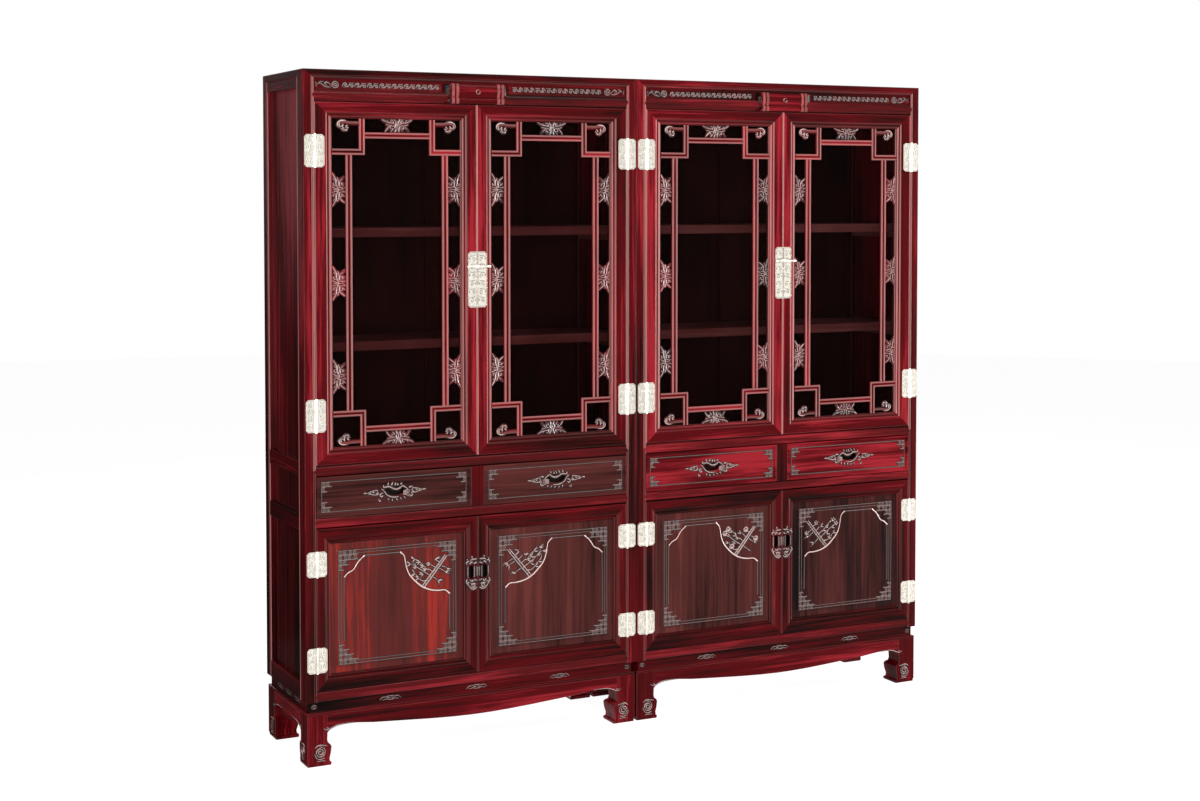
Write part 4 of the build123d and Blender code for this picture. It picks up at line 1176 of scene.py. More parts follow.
class BOOKCABINET_OT_stand(BookCabinetOperator, bpy.types.Operator):
    """Waist, lip, aprons and hoofed legs"""
    bl_idname = "bookcabinet.stand"
    bl_label = "Stand"

    def execute(self, context):
        dress("waist_boards", "rosewood", radius=STAND_EDGE, tone=WAIST_SHADE_TONE).finished()
        dress("stand_top_frames", "rosewood", radius=STAND_EDGE).finished()
        dress("stand_aprons", "rosewood", radius=STAND_EDGE, tone=APRON_TONE, shape=fuller_apron).finished()
        dress("stand_legs", "rosewood", radius=LEG_EDGE, grain="z", wear_and_highlight=LEG_WEAR_AND_HIGHLIGHT, tone=leg_tone).finished()
        leg_face, waist_face = unit_box("stand_legs")[0].y, unit_box("waist_boards")[0].y
        corner_drawings, cloud = (leg_scroll(), ear_curl()), waist_cloud()
        # the leg drawings on the side, at the front leg and, mirrored, at the back leg
        front_leg = on_left_side(0, 0, leg_face) @ Matrix.Diagonal((-1, 1, 1, 1))
        back_leg = Matrix.Translation((0, DEPTH, 0)) @ Matrix.Diagonal((1, -1, 1, 1)) @ front_leg
        piece = Piece("stand_carving", "root", "carved_rosewood")
        for unit in UNITS:
            for hand in HANDS:
                side = place_of(unit, hand)
                for drawing in corner_drawings:
                    piece.add(drawing, side @ on_front(0, 0, leg_face), GRAIN["x"], CARVING_SHADE_TONE)
                for x, stretch in FRONT_CLOUDS:
                    place = on_front(x, CLOUD_HEIGHT, waist_face, stretch=stretch)
                    piece.add(cloud, side @ place, GRAIN["x"], CARVING_SHADE_TONE)
                for drawing in corner_drawings:
                    for leg in (front_leg, back_leg):
                        piece.add(drawing, side @ leg, GRAIN["y"], CARVING_SHADE_TONE)
                for y in SIDE_CLOUDS:
                    place = on_left_side(y, CLOUD_HEIGHT, waist_face)
                    piece.add(cloud, side @ place, GRAIN["y"], CARVING_SHADE_TONE)
            place = on_front(MIDDLE, CLOUD_HEIGHT, waist_face)
            piece.add(cloud, place_of(unit) @ place, GRAIN["x"], CARVING_SHADE_TONE)
        piece.finished()
        return {"FINISHED"}


# ---- glass doors ----

DOOR_TONES = {"left_unit_upper_left_door": 0.25, "left_unit_upper_right_door": 0.05,
              "right_unit_upper_left_door": 0.15, "right_unit_upper_right_door": 0.1,
              "left_unit_lower_left_door": 0.1, "left_unit_lower_right_door": 0.0,
              "right_unit_lower_left_door": -0.1, "right_unit_lower_right_door": -0.95}
# what the stiles and the rails of a glass door add to its tone
GLASS_STILE_TONE = 0.15
GLASS_RAIL_TONE = -0.2
GLASS_DOOR_EDGE = 1.5 * MM
PANE_EDGE = 0.5 * MM
# metres from the middle of a cabinet within which the doors meet, and the wear with painted highlight there
# and on the rest, where the right cabinet gets more painted highlight
MEETING_REACH = 0.012
MEETING_WEAR_AND_HIGHLIGHT = 1.0
GLASS_DOOR_WEAR_AND_HIGHLIGHT = {"left_unit": 0.55, "right_unit": 0.75}


def doors(level):
    """Name and place of each door on one level."""
    return [(f"{unit}_{level}_{hand}_door", place_of(unit, hand)) for unit in UNITS for hand in HANDS]


def glass_door_wear_and_highlight(point):
    """Wear and painted highlight of a glass door's frame: most where the two doors meet."""
    meeting = abs(abs(point.x) - MIDDLE * MM) < MEETING_REACH
    return MEETING_WEAR_AND_HIGHLIGHT if meeting else GLASS_DOOR_WEAR_AND_HIGHLIGHT[unit_at(point)]


class BOOKCABINET_OT_glass_doors(BookCabinetOperator, bpy.types.Operator):
    """Moulded frames and panes of the glass doors"""
    bl_idname = "bookcabinet.glass_doors"
    bl_label = "Glass doors"

    def execute(self, context):
        for door, _ in doors("upper"):
            tone = DOOR_TONES[door]
            dress(door + "_frame", "rosewood", radius=GLASS_DOOR_EDGE, tone=tone + GLASS_STILE_TONE,
                  rail_tone=tone + GLASS_RAIL_TONE, wear_and_highlight=glass_door_wear_and_highlight).finished()
            dress(door + "_glass", "dark_glass", radius=PANE_EDGE).finished()
        return {"FINISHED"}


# ---- lattice ----

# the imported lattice's bars are narrower than this. Its hooks and spacers are wider, and are carved anew
LATTICE_BAR_LIMIT = 21.0
LATTICE_EDGE = 0.6 * MM
LATTICE_TONE = 0.2
# wear and painted highlight of the bars, and the share of it that lying bars get
LATTICE_WEAR_AND_HIGHLIGHT = 0.5
LATTICE_LYING_HIGHLIGHT_SHARE = 0.9
LATTICE_MIDDLE_DEPTH = 9.0
# width of a corner square with its bar, width of the bar, and how far a hook starts below the lattice's top
CORNER_SQUARE = 102.0
CORNER_BAR = 18.0
HOOK_DROP = 12.5
HOOK_TONE = -0.3
HOOK_RELIEF = 0.72
# wear and painted highlight of the hook bars
HOOK_WEAR_AND_HIGHLIGHT = 0.3
# spacers that lie above and below and that stand at the sides: distance from the lattice's edge and stretch
LYING_BAT_INSET = 19.5
LYING_BAT_STRETCH = 0.93
UPRIGHT_BAT_INSET = 21
UPRIGHT_BAT_STRETCH = (1.02, 0.98)
BAT_SPACING = 276.0
BAT_GROUND = 0.3
# tones of the spacers' carving: on the lying ones the darker ground and unlit sides are painted shade
BAT_TONES = {"lying": -0.5, "upright": 0.0}


def bat_spacer():
    """Openwork spacer like a bat with spread wings, 96 mm wide and 42 mm high."""
    drawing = Carving(sides=2)
    drawing.both([(9, 21), (5, 14), (3, 7), (6, 1), (8, -3), (6, -9), (4, -14), (7, -21)],
                 (1.8, 2.4, 2.8, 3.2, 3.2, 2.8, 2.4, 1.8))
    drawing.both([(6, 3), (12, 6), (19, 9), (27, 8), (35, 11), (49, 20)], (2.4, 3.2, 2.8, 2.6, 3.2, 1.2))
    drawing.both([(9, -2), (15, -1), (22, 0), (27, -6), (32, -12), (38, -20)],
                 (2.4, 2.8, 2.6, 2.8, 3.0, 1.2))
    drawing.both([(20, -1), (21, -8), (17, -12), (12, -9)], (2.0, 2.6, 2.4, 1.4))
    drawing.both([(13, 7), (11, 12), (15, 17), (21, 16)], (2.0, 2.6, 2.2, 1.2))
    drawing.both([(22, 0), (30, 2), (36, 4)], (1.8, 2.8, 1.2))
    drawing.both([(27, 9), (27, 14), (33, 17)], (1.6, 2.2, 0.8))
    drawing.both([(12, -9), (15, -16), (21, -19)], (1.6, 2.4, 0.8))
    drawing.stroke([(-6, 3), (0, 1), (6, 3)], (2.4, 2.8, 2.4))
    drawing.stroke([(0, 18), (0, 10), (0, -4), (0, -16)], (1.0, 2.6, 2.8, 1.0))
    return drawing.mesh(1.3, wear_and_highlight=0.54, halo=2.8, ground=BAT_GROUND)


def hook_bar():
    """Bar inside a corner square, drawn from the square's inner bar."""
    drawing = Carving(sides=3)
    drawing.stroke([(0, -2), (-12, -2), (-26, -2), (-40, 0), (-52, 1), (-58, -2)],
                   (7.2, 7.2, 7.0, 6.4, 5.6, 4.0))
    return drawing.mesh(HOOK_RELIEF, wear_and_highlight=HOOK_WEAR_AND_HIGHLIGHT)


def cloud_head():
    """Cloud head at the end of the bar in a corner square."""
    drawing = Carving(weight=1.05, sides=2)
    drawing.stroke([(-38, 4), (-48, 6), (-58, 4), (-65, -2), (-65, -11), (-58, -16)],
                   (2.0, 3.0, 3.4, 3.2, 3.0, 2.0))
    drawing.stroke([(-58, -1), (-61, -9), (-56, -14), (-51, -10)], (2.6, 3.0, 2.8, 1.6))
    drawing.stroke([(-48, -4), (-49, -13), (-46, -21), (-39, -24), (-34, -20), (-38, -15)],
                   (3.2, 3.2, 3.0, 2.8, 2.4, 1.4))
    drawing.stroke([(-34, -7), (-40, -12), (-37, -17), (-31, -14)], (2.6, 2.8, 2.4, 1.4))
    drawing.stroke([(-54, -16), (-50, -23), (-44, -27)], (2.2, 2.6, 1.0))
    return drawing.mesh(0.85, wear_and_highlight=0.8, halo=1.5, ground=BAT_GROUND)


def is_lattice_bar(part):
    return sorted(spans_of(part))[1] < LATTICE_BAR_LIMIT * MM


class BOOKCABINET_OT_lattice(BookCabinetOperator, bpy.types.Operator):
    """Lattice bars, hooks and bat-shaped spacers in front of the panes"""
    bl_idname = "bookcabinet.lattice"
    bl_label = "Lattice"

    def execute(self, context):
        low, high = unit_box("left_unit_upper_left_door_lattice")
        left, right, bottom, top = low.x, high.x, low.z, high.z
        middle, centre = (left + right) / 2, (bottom + top) / 2
        bat, hook, cloud = bat_spacer(), hook_bar(), cloud_head()
        inside = CORNER_SQUARE - CORNER_BAR
        for door, side in doors("upper"):
            carving = Piece(door + "_lattice_carving", door, "carved_rosewood")
            bars = dress(door + "_lattice", "rosewood", tone=LATTICE_TONE, radius=LATTICE_EDGE,
                         wear_and_highlight=LATTICE_WEAR_AND_HIGHLIGHT, lying=LATTICE_LYING_HIGHLIGHT_SHARE, wanted=is_lattice_bar)
            for x, across in ((left + inside, 1), (right - inside, -1)):
                for z, over in ((top - HOOK_DROP, 1), (bottom + HOOK_DROP, -1)):
                    place = side @ on_front(x, z, LATTICE_MIDDLE_DEPTH, stretch=(across, over))
                    bars.add(hook, place, GRAIN["x"], HOOK_TONE)
                    carving.add(cloud, place, GRAIN["x"], BAT_TONES["lying"])
            for z, over in ((top - LYING_BAT_INSET, 1), (bottom + LYING_BAT_INSET, -1)):
                place = side @ on_front(middle, z, LATTICE_MIDDLE_DEPTH,
                                        stretch=(1, over * LYING_BAT_STRETCH))
                carving.add(bat, place, GRAIN["x"], BAT_TONES["lying"])
            for x, turn in ((left + UPRIGHT_BAT_INSET, 90), (right - UPRIGHT_BAT_INSET, -90)):
                for step in (-1, 0, 1):
                    place = side @ on_front(x, centre + step * BAT_SPACING, LATTICE_MIDDLE_DEPTH, turn,
                                            UPRIGHT_BAT_STRETCH)
                    carving.add(bat, place, GRAIN["z"], BAT_TONES["upright"])
            bars.finished()
            carving.finished(flat_faces=False)
        return {"FINISHED"}


# ---- panelled doors ----

# left, right, lowest and highest line of the carved field on the left door of a cabinet
FIELD = (104.0, 478.0, 297.0, 636.0)
# a fret's spirals: from one to the next, half-width of their lines, and the gap between two of them
FRET = 15.0
FRET_LINE = 1.9
FRET_GAP = 2.6 * FRET_LINE
# fine lines and frets: their wear and painted highlight, and the low ground beside them, which takes painted
# shade
LINE_WEAR_AND_HIGHLIGHT = 0.46
LINE_HALO = 1.9
FRET_HALO = 1.8
# usual half-width of a ridge where it swells
RIDGE = 2.5
# metres above which a panelled door's rail is its top one
LOWER_RAIL_LEVEL = 0.5
LOWER_FRAME_TONE = -0.25
LOWER_TOP_RAIL_TONE = -0.3
LOWER_BOTTOM_RAIL_TONE = -0.75
# wear and painted highlight of the panelled doors' frames and panels
LOWER_FRAME_WEAR_AND_HIGHLIGHT = 0.12
PANEL_WEAR_AND_HIGHLIGHT = 0.1


def fret_cell(drawing, u, v, across, over):
    """One square spiral of a fret, drawn from its corner."""
    s = FRET - FRET_GAP
    points = [(0, 0), (s, 0), (s, s), (s * 0.3, s), (s * 0.3, s * 0.36), (s * 0.68, s * 0.36),
              (s * 0.68, s * 0.66)]
    drawing.stroke([(u + across * a, v + over * b) for a, b in points], FRET_LINE, straight=True)


def fret_corner(drawing, corner, across, over, rows):
    """Stepped block of square spirals in a corner, with its rows counted from the edge."""
    u, v = corner
    for row, count in enumerate(rows):
        for column in range(count):
            flip = (row + column) % 2
            start = u + across * FRET * (column + flip * (1 - FRET_GAP / FRET))
            fret_cell(drawing, start, v + over * FRET * row, across * (1 - 2 * flip), over)
        end = u + across * (FRET * count + 1)
        level = v + over * (FRET * (row + 1) - FRET_LINE * 1.3)
        drawing.stroke([(u, level), (end, level)], FRET_LINE * 0.9, straight=True)


def double_stem(drawing, start, end, gap, joints):
    """Two lines side by side, tied by short joints."""
    run = Vector(end) - Vector(start)
    aside = Vector((-run.y, run.x)).normalized() * gap / 2
    for way in (-1, 1):
        drawing.stroke([Vector(start) + aside * way, Vector(start) + run * 0.5 + aside * way * 1.1,
                        Vector(end) + aside * way * 0.8], (1.6, 1.8, 1.4))
    for k in range(joints):
        middle = Vector(start) + run * (k + 0.5) / joints
        drawing.stroke([middle - aside * 1.7, middle, middle + aside * 1.7], (1.1, 1.5, 1.1))


STEM = ((373, 506), (446, 594))
STEM_GAP = 7.5
STEM_JOINTS = 5
TWIGS = (
    ((404, 546), (392, 560), (384, 557), (376, 568), (362, 584), (344, 592)),
    ((396, 536), (378, 546), (362, 560), (352, 568), (332, 579)),
    ((386, 524), (372, 522), (358, 534), (346, 548)),
    ((426, 574), (418, 580), (412, 586)),
    ((424, 556), (434, 550), (444, 543)),
    ((432, 564), (442, 559), (450, 554)),
    ((404, 532), (412, 526), (422, 519)),
    ((414, 560), (404, 566), (396, 574)),
)
LEAF_ROOTS = ((344, 592), (362, 584), (376, 568), (332, 579), (352, 568), (346, 548), (358, 534), (396, 574),
              (384, 557), (412, 586), (444, 543), (422, 519), (450, 554), (372, 545))
# most that a twig's point is moved aside, the x that parts the leaves that lean left from those that lean
# right, and the degrees between the leaves of one root
TWIG_SWAY = 2.5
LEANING_LEFT = 400
LEAF_SPREAD = 38
# radius and petals of the flowers, which stand on every third root
FLOWERS = {"plum": (8.5, 5), "chrysanthemum": (9.5, 9)}
# leaves at a root, how long they are for their kind, and how far they bend
LEAVES = {"bamboo": (3, 1, 0.06), "orchid": (2, 1.35, 0.22), "plum": (2, 1, 0.06),
          "chrysanthemum": (2, 1, 0.06)}


def plant(kind):
    """Plant in the corner of a panel: a jointed stem with twigs and the leaves or flowers of its kind."""
    drawing = Carving(weight=1.3)
    chance = random.Random(kind)
    double_stem(drawing, *STEM, STEM_GAP, STEM_JOINTS)
    for twig in TWIGS:
        moved = [(u + chance.uniform(-TWIG_SWAY, TWIG_SWAY), v + chance.uniform(-TWIG_SWAY, TWIG_SWAY))
                 for u, v in twig[1:]]
        drawing.stroke([twig[0], *moved], (1.7, 1.5, 0.8))
    count, lengthening, bend = LEAVES[kind]
    for number, root in enumerate(LEAF_ROOTS):
        leans = (150, 205) if root[0] < LEANING_LEFT else (-60, 20)
        if kind in FLOWERS and number % 3 == 0:
            drawing.blossom(root, *FLOWERS[kind], chance.uniform(0, 90))
            continue
        for k in range(count):
            angle = chance.uniform(*leans) + (k - 1) * LEAF_SPREAD
            drawing.leaf(root, angle, chance.uniform(13, 19) * lengthening, 1.9, bend)
    return drawing.mesh(halo=2.3)


def panel_lines():
    """Fine double line of a panelled door and the upright ends of its ridges."""
    left, right, low, high = FIELD
    drawing = Carving()
    for inset, line in ((0, 1.3), (8.5, 0.9)):
        corners = [(left + inset, low + inset), (right - inset, low + inset), (right - inset, high - inset),
                   (left + inset, high - inset)]
        drawing.stroke(corners, line, straight=True, closed=True)
    drawing.stroke([(457, 477), (458, 430), (458, 366)], 0.9)
    drawing.stroke([(121, 558), (120, 460), (120, 366)], 0.9)
    drawing.stroke([(184, 617), (240, 617), (299, 617)], 1.1)
    return drawing.mesh(wear_and_highlight=LINE_WEAR_AND_HIGHLIGHT, halo=LINE_HALO)


def panel_frets():
    """Fret corners of a panelled door."""
    left, right, low, high = FIELD
    drawing = Carving()
    fret_corner(drawing, (left, high), 1, -1, (4, 4, 2, 1))
    fret_corner(drawing, (right, high), -1, -1, (4, 3, 2, 1))
    fret_corner(drawing, (left, low), 1, 1, (4, 3, 2, 1))
    fret_corner(drawing, (right, low), -1, 1, (4, 3, 2, 1))
    return drawing.mesh(wear_and_highlight=LINE_WEAR_AND_HIGHLIGHT, halo=FRET_HALO)


def panel_ridges():
    """Swept ridges of a panelled door."""
    drawing = Carving(sides=2)
    drawing.stroke([(121, 558), (126, 563), (134, 571), (150, 576), (160, 594), (170, 606), (178, 611),
                    (184, 617)], (3.0, 1.7, 2.6, 1.8, 2.1, 2.4, 1.8, 3.0))
    drawing.stroke([(297, 618), (302, 614), (311, 606), (314, 590), (317, 570), (325, 548), (342, 528),
                    (366, 506), (392, 494), (420, 489), (440, 490), (448, 486), (457, 477)],
                   (3.2, 2.3, 1.7, 1.7, 2.0, RIDGE, 2.9, 3.1, 2.9, RIDGE, 2.0, RIDGE, 3.4))
    return drawing.mesh(halo=1.0, highlight_way=OUTWARD)


def door_pull_cluster():
    """Half of the carving around a door's finger slot: clouds above and below a ribbed wall.

    The drawing is centred on the slot, with the meeting edge 22.4 mm to its right."""
    drawing = Carving(weight=1.15)
    for v, over in ((21, 1), (-21, -1)):
        drawing.stroke([(-12, v), (-17, v + over * 6), (-12, v + over * 12), (-4, v + over * 11)],
                       (1.2, 2.2, 2.2, 1.2))
        drawing.stroke([(-4, v + over * 3), (0, v + over * 9), (7, v + over * 8), (6, v + over * 3)],
                       (1.6, 2.4, 2.2, 1.2))
        drawing.stroke([(-2, v + over * 14), (5, v + over * 19), (13, v + over * 15), (18, v + over * 19)],
                       (1.2, 2.4, 2.4, 1.2))
        drawing.stroke([(10, v + over * 2), (15, v + over * 8), (20, v + over * 6)], (1.6, 2.4, 1.4))
        drawing.leaf((3, v + over * 20), 90 * over, 9, 2.0)
        drawing.leaf((-9, v + over * 13), over * 125, 9, 1.8)
    drawing.spiral((6, -42), (9, 2.5), 200, 420, (1.4, 2.4, 2.2, 1.6))
    drawing.stroke([(-18, -30), (-12, -36), (-6, -46), (2, -54), (12, -55), (19, -49)],
                   (1.2, 2.0, 2.2, 2.4, 2.2, 1.4))
    drawing.stroke([(10.5, -17), (11.5, 0), (10.5, 17)], (1.0, 1.4, 1.0))
    drawing.stroke([(19.6, -14), (20.4, 0), (19.6, 15)], (1.0, 1.6, 1.8))
    drawing.stroke([(-10.5, -17), (-11.5, 0), (-10.5, 17)], (1.0, 1.5, 1.0))
    return drawing.mesh(0.9, wear_and_highlight=0.8, halo=2.4)


FLAME_DOOR = "left_unit_lower_left_door"
PANEL_PLANTS = {"left_unit_lower_left_door": "bamboo", "left_unit_lower_right_door": "orchid",
                "right_unit_lower_left_door": "chrysanthemum", "right_unit_lower_right_door": "plum"}
DOOR_PULL = (527.0, 537.0)
DOOR_SLOT = ((516, 1.5, 512), (538, 12, 562))


def lower_rail_tone(point):
    """Tone of a panelled door's rail: the bottom one is darker."""
    return LOWER_TOP_RAIL_TONE if point.z > LOWER_RAIL_LEVEL else LOWER_BOTTOM_RAIL_TONE


class BOOKCABINET_OT_panelled_doors(BookCabinetOperator, bpy.types.Operator):
    """Panelled doors with frets, plants and carved finger pulls"""
    bl_idname = "bookcabinet.panelled_doors"
    bl_label = "Panelled doors"

    def execute(self, context):
        field_face = unit_box("left_unit_lower_left_door_panel")[0].y
        frame_face = unit_box("left_unit_lower_left_door_frame")[0].y
        relief = [panel_lines(), panel_frets(), panel_ridges()]
        cluster = door_pull_cluster()
        for door, side in doors("lower"):
            slot = hollow_shade_tone(LOWER_FRAME_TONE, *[side @ Vector(corner) for corner in DOOR_SLOT])
            dress(door + "_frame", "rosewood", tone=slot, wear_and_highlight=LOWER_FRAME_WEAR_AND_HIGHLIGHT,
                  rail_tone=lower_rail_tone).finished()
            finish = "flame_rosewood" if door == FLAME_DOOR else "brown_rosewood"
            dress(door + "_panel", finish, grain="z", tone=DOOR_TONES[door], wear_and_highlight=PANEL_WEAR_AND_HIGHLIGHT).finished()
            carving = Piece(door + "_carving", door, "carved_rosewood")
            for drawing in (*relief, plant(PANEL_PLANTS[door])):
                carving.add(drawing, side @ on_front(0, 0, field_face), GRAIN["z"], CARVING_SHADE_TONE)
            carving.add(cluster, side @ on_front(*DOOR_PULL, frame_face), GRAIN["z"], CARVING_SHADE_TONE)
            carving.finished(flat_faces=False)
        return {"FINISHED"}


# ---- drawers ----

# tones of the drawer fronts: the boards' own, with painted light that makes the right cabinet's lighter
DRAWER_TONES = {"left_unit_left_drawer": -0.35, "left_unit_right_drawer": -0.2,
                "right_unit_left_drawer": 0.3, "right_unit_right_drawer": 0.7}
DRAWER_WOOD = {"left_unit": "brown_rosewood", "right_unit": "rosewood"}
# wear and painted highlight of the drawer fronts' edges
DRAWER_WEAR_AND_HIGHLIGHT = 0.15
# the field of a drawer front: how deep it is sunk, and how far its line lies inside the front's edge
DRAWER_SINK = 3.0
DRAWER_LINE_INSET = 16.0
# wear and painted highlight of the drawer's line
DRAWER_LINE_WEAR_AND_HIGHLIGHT = 0.42
DRAWER_LINE_HALO = 1.7
# corners of the finger hollow, painted dark as shade, with their depths counted from the field
DRAWER_HOLLOW = ((248, 0.4, 786), (316, 12, 824))
DRAWER_PULL_HEIGHT = 803


def drawer_pull():
    """Carving around the finger hollow of a drawer: a leaf dips into it and clouds trail off both ways."""
    drawing = Carving(weight=1.15)
    drawing.stroke([(-44, 10), (-36, 6), (-30, -6), (-18, -15), (-2, -19), (12, -17)],
                   (1.0, 1.7, 2.0, 2.3, 2.0, 1.0))
    drawing.stroke([(-38, 13), (-28, 15), (-16, 15), (-8, 9), (4, 5), (16, 8), (22, 14)],
                   (1.0, 1.7, 2.3, 2.5, 2.4, 2.0, 1.2))
    drawing.stroke([(22, 16), (32, 12), (42, 2), (48, -2)], (1.6, 2.4, 2.0, 1.0))
    for u, v, angle, length in ((-22, 17, 80, 12), (-12, 16, 60, 15), (0, 14, 75, 14), (10, 14, 95, 12),
                                (18, 17, 60, 10), (-34, 14, 110, 8)):
        drawing.leaf((u, v), angle, length, 2.1, 0.15)
    for k, (u, v) in enumerate(((-22, -20), (-10, -23), (4, -22), (16, -20), (28, -18))):
        drawing.leaf((u, v), -62 + k * 6, 12, 2.0, -0.15)
    drawing.spiral((-42, -10), (8, 2), 60, 330, (1.2, 2.0, 1.4))
    drawing.spiral((-48, -24), (5, 1.5), 120, 280, (1.0, 1.6, 1.0))
    for k in range(5):
        drawing.stroke([(26, -2 - k * 2.4), (36, 2 - k * 3.2), (47, 1 - k * 5)], (1.0, 1.5, 1.0))
    drawing.spiral((50, -14), (7, 2), 90, -300, (1.2, 1.9, 1.3))
    drawing.leaf((44, 9), 5, 16, 2.4, 0.1)
    for way in (-1, 1):
        for reach, level, size in ((58, -2, 5.2), (70, 2, 4.2), (80, -2, 3.4)):
            drawing.spiral((way * reach, level), (size, 1.3), 90, way * 300, (1.0, 1.6, 1.0))
        drawing.stroke([(way * 52, -6), (way * 64, -8), (way * 76, -4), (way * 88, -1)], (1.3, 1.4, 0.9))
        drawing.stroke([(way * 54, 6), (way * 64, 7), (way * 74, 4), (way * 86, 1)], (1.2, 1.2, 0.8))
        drawing.stroke([(way * 88, 0), (way * 93, 0), (way * 99, 0)], (1.2, 2.8, 1.4))
    return drawing.mesh(0.85, wear_and_highlight=0.85, halo=2.2)


def drawer_line(left, right, low, high):
    """Raised line around a drawer front."""
    drawing = Carving()
    drawing.stroke([(left, low), (right, low), (right, high), (left, high)], 1.3, straight=True, closed=True)
    return drawing.mesh(wear_and_highlight=DRAWER_LINE_WEAR_AND_HIGHLIGHT, halo=DRAWER_LINE_HALO)


def drawer_frets(left, right, low, high):
    """Small fret corners inside the line of a drawer front."""
    drawing = Carving()
    for u, across in ((left, 1), (right, -1)):
        for v, over in ((low, 1), (high, -1)):
            fret_corner(drawing, (u + across, v + over), across, over, (2, 1))
    return drawing.mesh(wear_and_highlight=LINE_WEAR_AND_HIGHLIGHT, halo=FRET_HALO)


class BOOKCABINET_OT_drawers(BookCabinetOperator, bpy.types.Operator):
    """Drawers with carved fronts"""
    bl_idname = "bookcabinet.drawers"
    bl_label = "Drawers"

    def execute(self, context):
        low, high = unit_box("left_unit_left_drawer_front")
        field = low.y + DRAWER_SINK
        border = (low.x + DRAWER_LINE_INSET, high.x - DRAWER_LINE_INSET, low.z + DRAWER_LINE_INSET,
                  high.z - DRAWER_LINE_INSET)
        line, frets, pull = drawer_line(*border), drawer_frets(*border), drawer_pull()
        middle = (low.x + high.x) / 2
        for unit in UNITS:
            for hand in HANDS:
                drawer = f"{unit}_{hand}_drawer"
                side = place_of(unit, hand)
                hollow = [side @ Vector((x, field + depth, z)) for x, depth, z in DRAWER_HOLLOW]
                dress(drawer + "_front", DRAWER_WOOD[unit], grain="x", wear_and_highlight=DRAWER_WEAR_AND_HIGHLIGHT,
                      tone=hollow_shade_tone(DRAWER_TONES[drawer], *hollow)).finished()
                dress(drawer + "_box", "plain_inside_wood").finished()
                carving = Piece(drawer + "_carving", drawer, "carved_rosewood")
                for drawing, x, z in ((line, 0, 0), (frets, 0, 0), (pull, middle, DRAWER_PULL_HEIGHT)):
                    carving.add(drawing, side @ on_front(x, z, field), GRAIN["x"], CARVING_SHADE_TONE)
                carving.finished(flat_faces=False)
        return {"FINISHED"}


# ---- brass ----

# lowest and highest point of the hinges on each level
HINGES = {"upper": ((994, 1091), (1773, 1869)), "lower": ((280, 355), (566, 641))}
# depth of the brass plates' faces, and widths and middles of the leaves
PLATE_FACE = -2.5
HINGE_LEAF_WIDTH = 26
FIXED_LEAF_X = 17.5
DOOR_LEAF_X = 52.5
LOCK_HALF_WIDTH = 31
HINGE_CURL = (6.2, 1.0)
LOCK_CURL = (7.0, 1.2)
LOCK_CURLS = 6
# height of the ridges for their half-width
ENGRAVING_RELIEF = 0.5


def hinge_engraving(width, height):
    """Border and scrolls engraved in one leaf of a hinge, about its middle."""
    drawing = Carving(weight=1.2)
    half, top = width / 2 - 2.4, height / 2 - 2.6
    corners = [(-half, -top + 6), (-half + 5, -top), (half, -top), (half, top), (-half + 5, top),
               (-half, top - 6)]
    drawing.stroke(corners, 0.45, straight=True, closed=True)
    steps = max(2, round(height / 22))
    for k in range(steps):
        v = (k + 0.5 - steps / 2) * (height - 14) / steps
        way = 1 if k % 2 else -1
        drawing.spiral((way * 2.5, v), HINGE_CURL, 90 * way, 400 * way, 0.5)
        drawing.stroke([(-way * 8, v - 8), (-way * 3, v - 3), (-way * 8, v + 3), (-way * 5, v + 9)], 0.45)
        drawing.leaf((way * 5, v + 7), 90 + 40 * way, 6, 0.9)
    return drawing.mesh(ENGRAVING_RELIEF)


def lock_engraving(width, height):
    """Border, scrolls and leaves engraved in one half of the lock plate, about its middle."""
    drawing = Carving(weight=1.6)
    half, top = width / 2 - 2.6, height / 2 - 2.8
    corners = [(-half, -top + 6), (-half + 6, -top), (half + 1, -top), (half + 1, top), (-half + 6, top),
               (-half, top - 6)]
    drawing.stroke(corners, 0.5, straight=True, closed=True)
    for k in range(LOCK_CURLS):
        v = (k + 0.5 - LOCK_CURLS / 2) * (height - 18) / LOCK_CURLS
        way = 1 if k % 2 else -1
        drawing.spiral((way * 3, v), LOCK_CURL, -90 * way, 380 * way, 0.6)
        drawing.stroke([(-9, v + 6), (-4, v + 10), (3, v + 8), (9, v + 11)], 0.5)
        drawing.leaf((-8 * way, v - 2), 90 + 30 * way, 8, 1.1)
    return drawing.mesh(ENGRAVING_RELIEF)


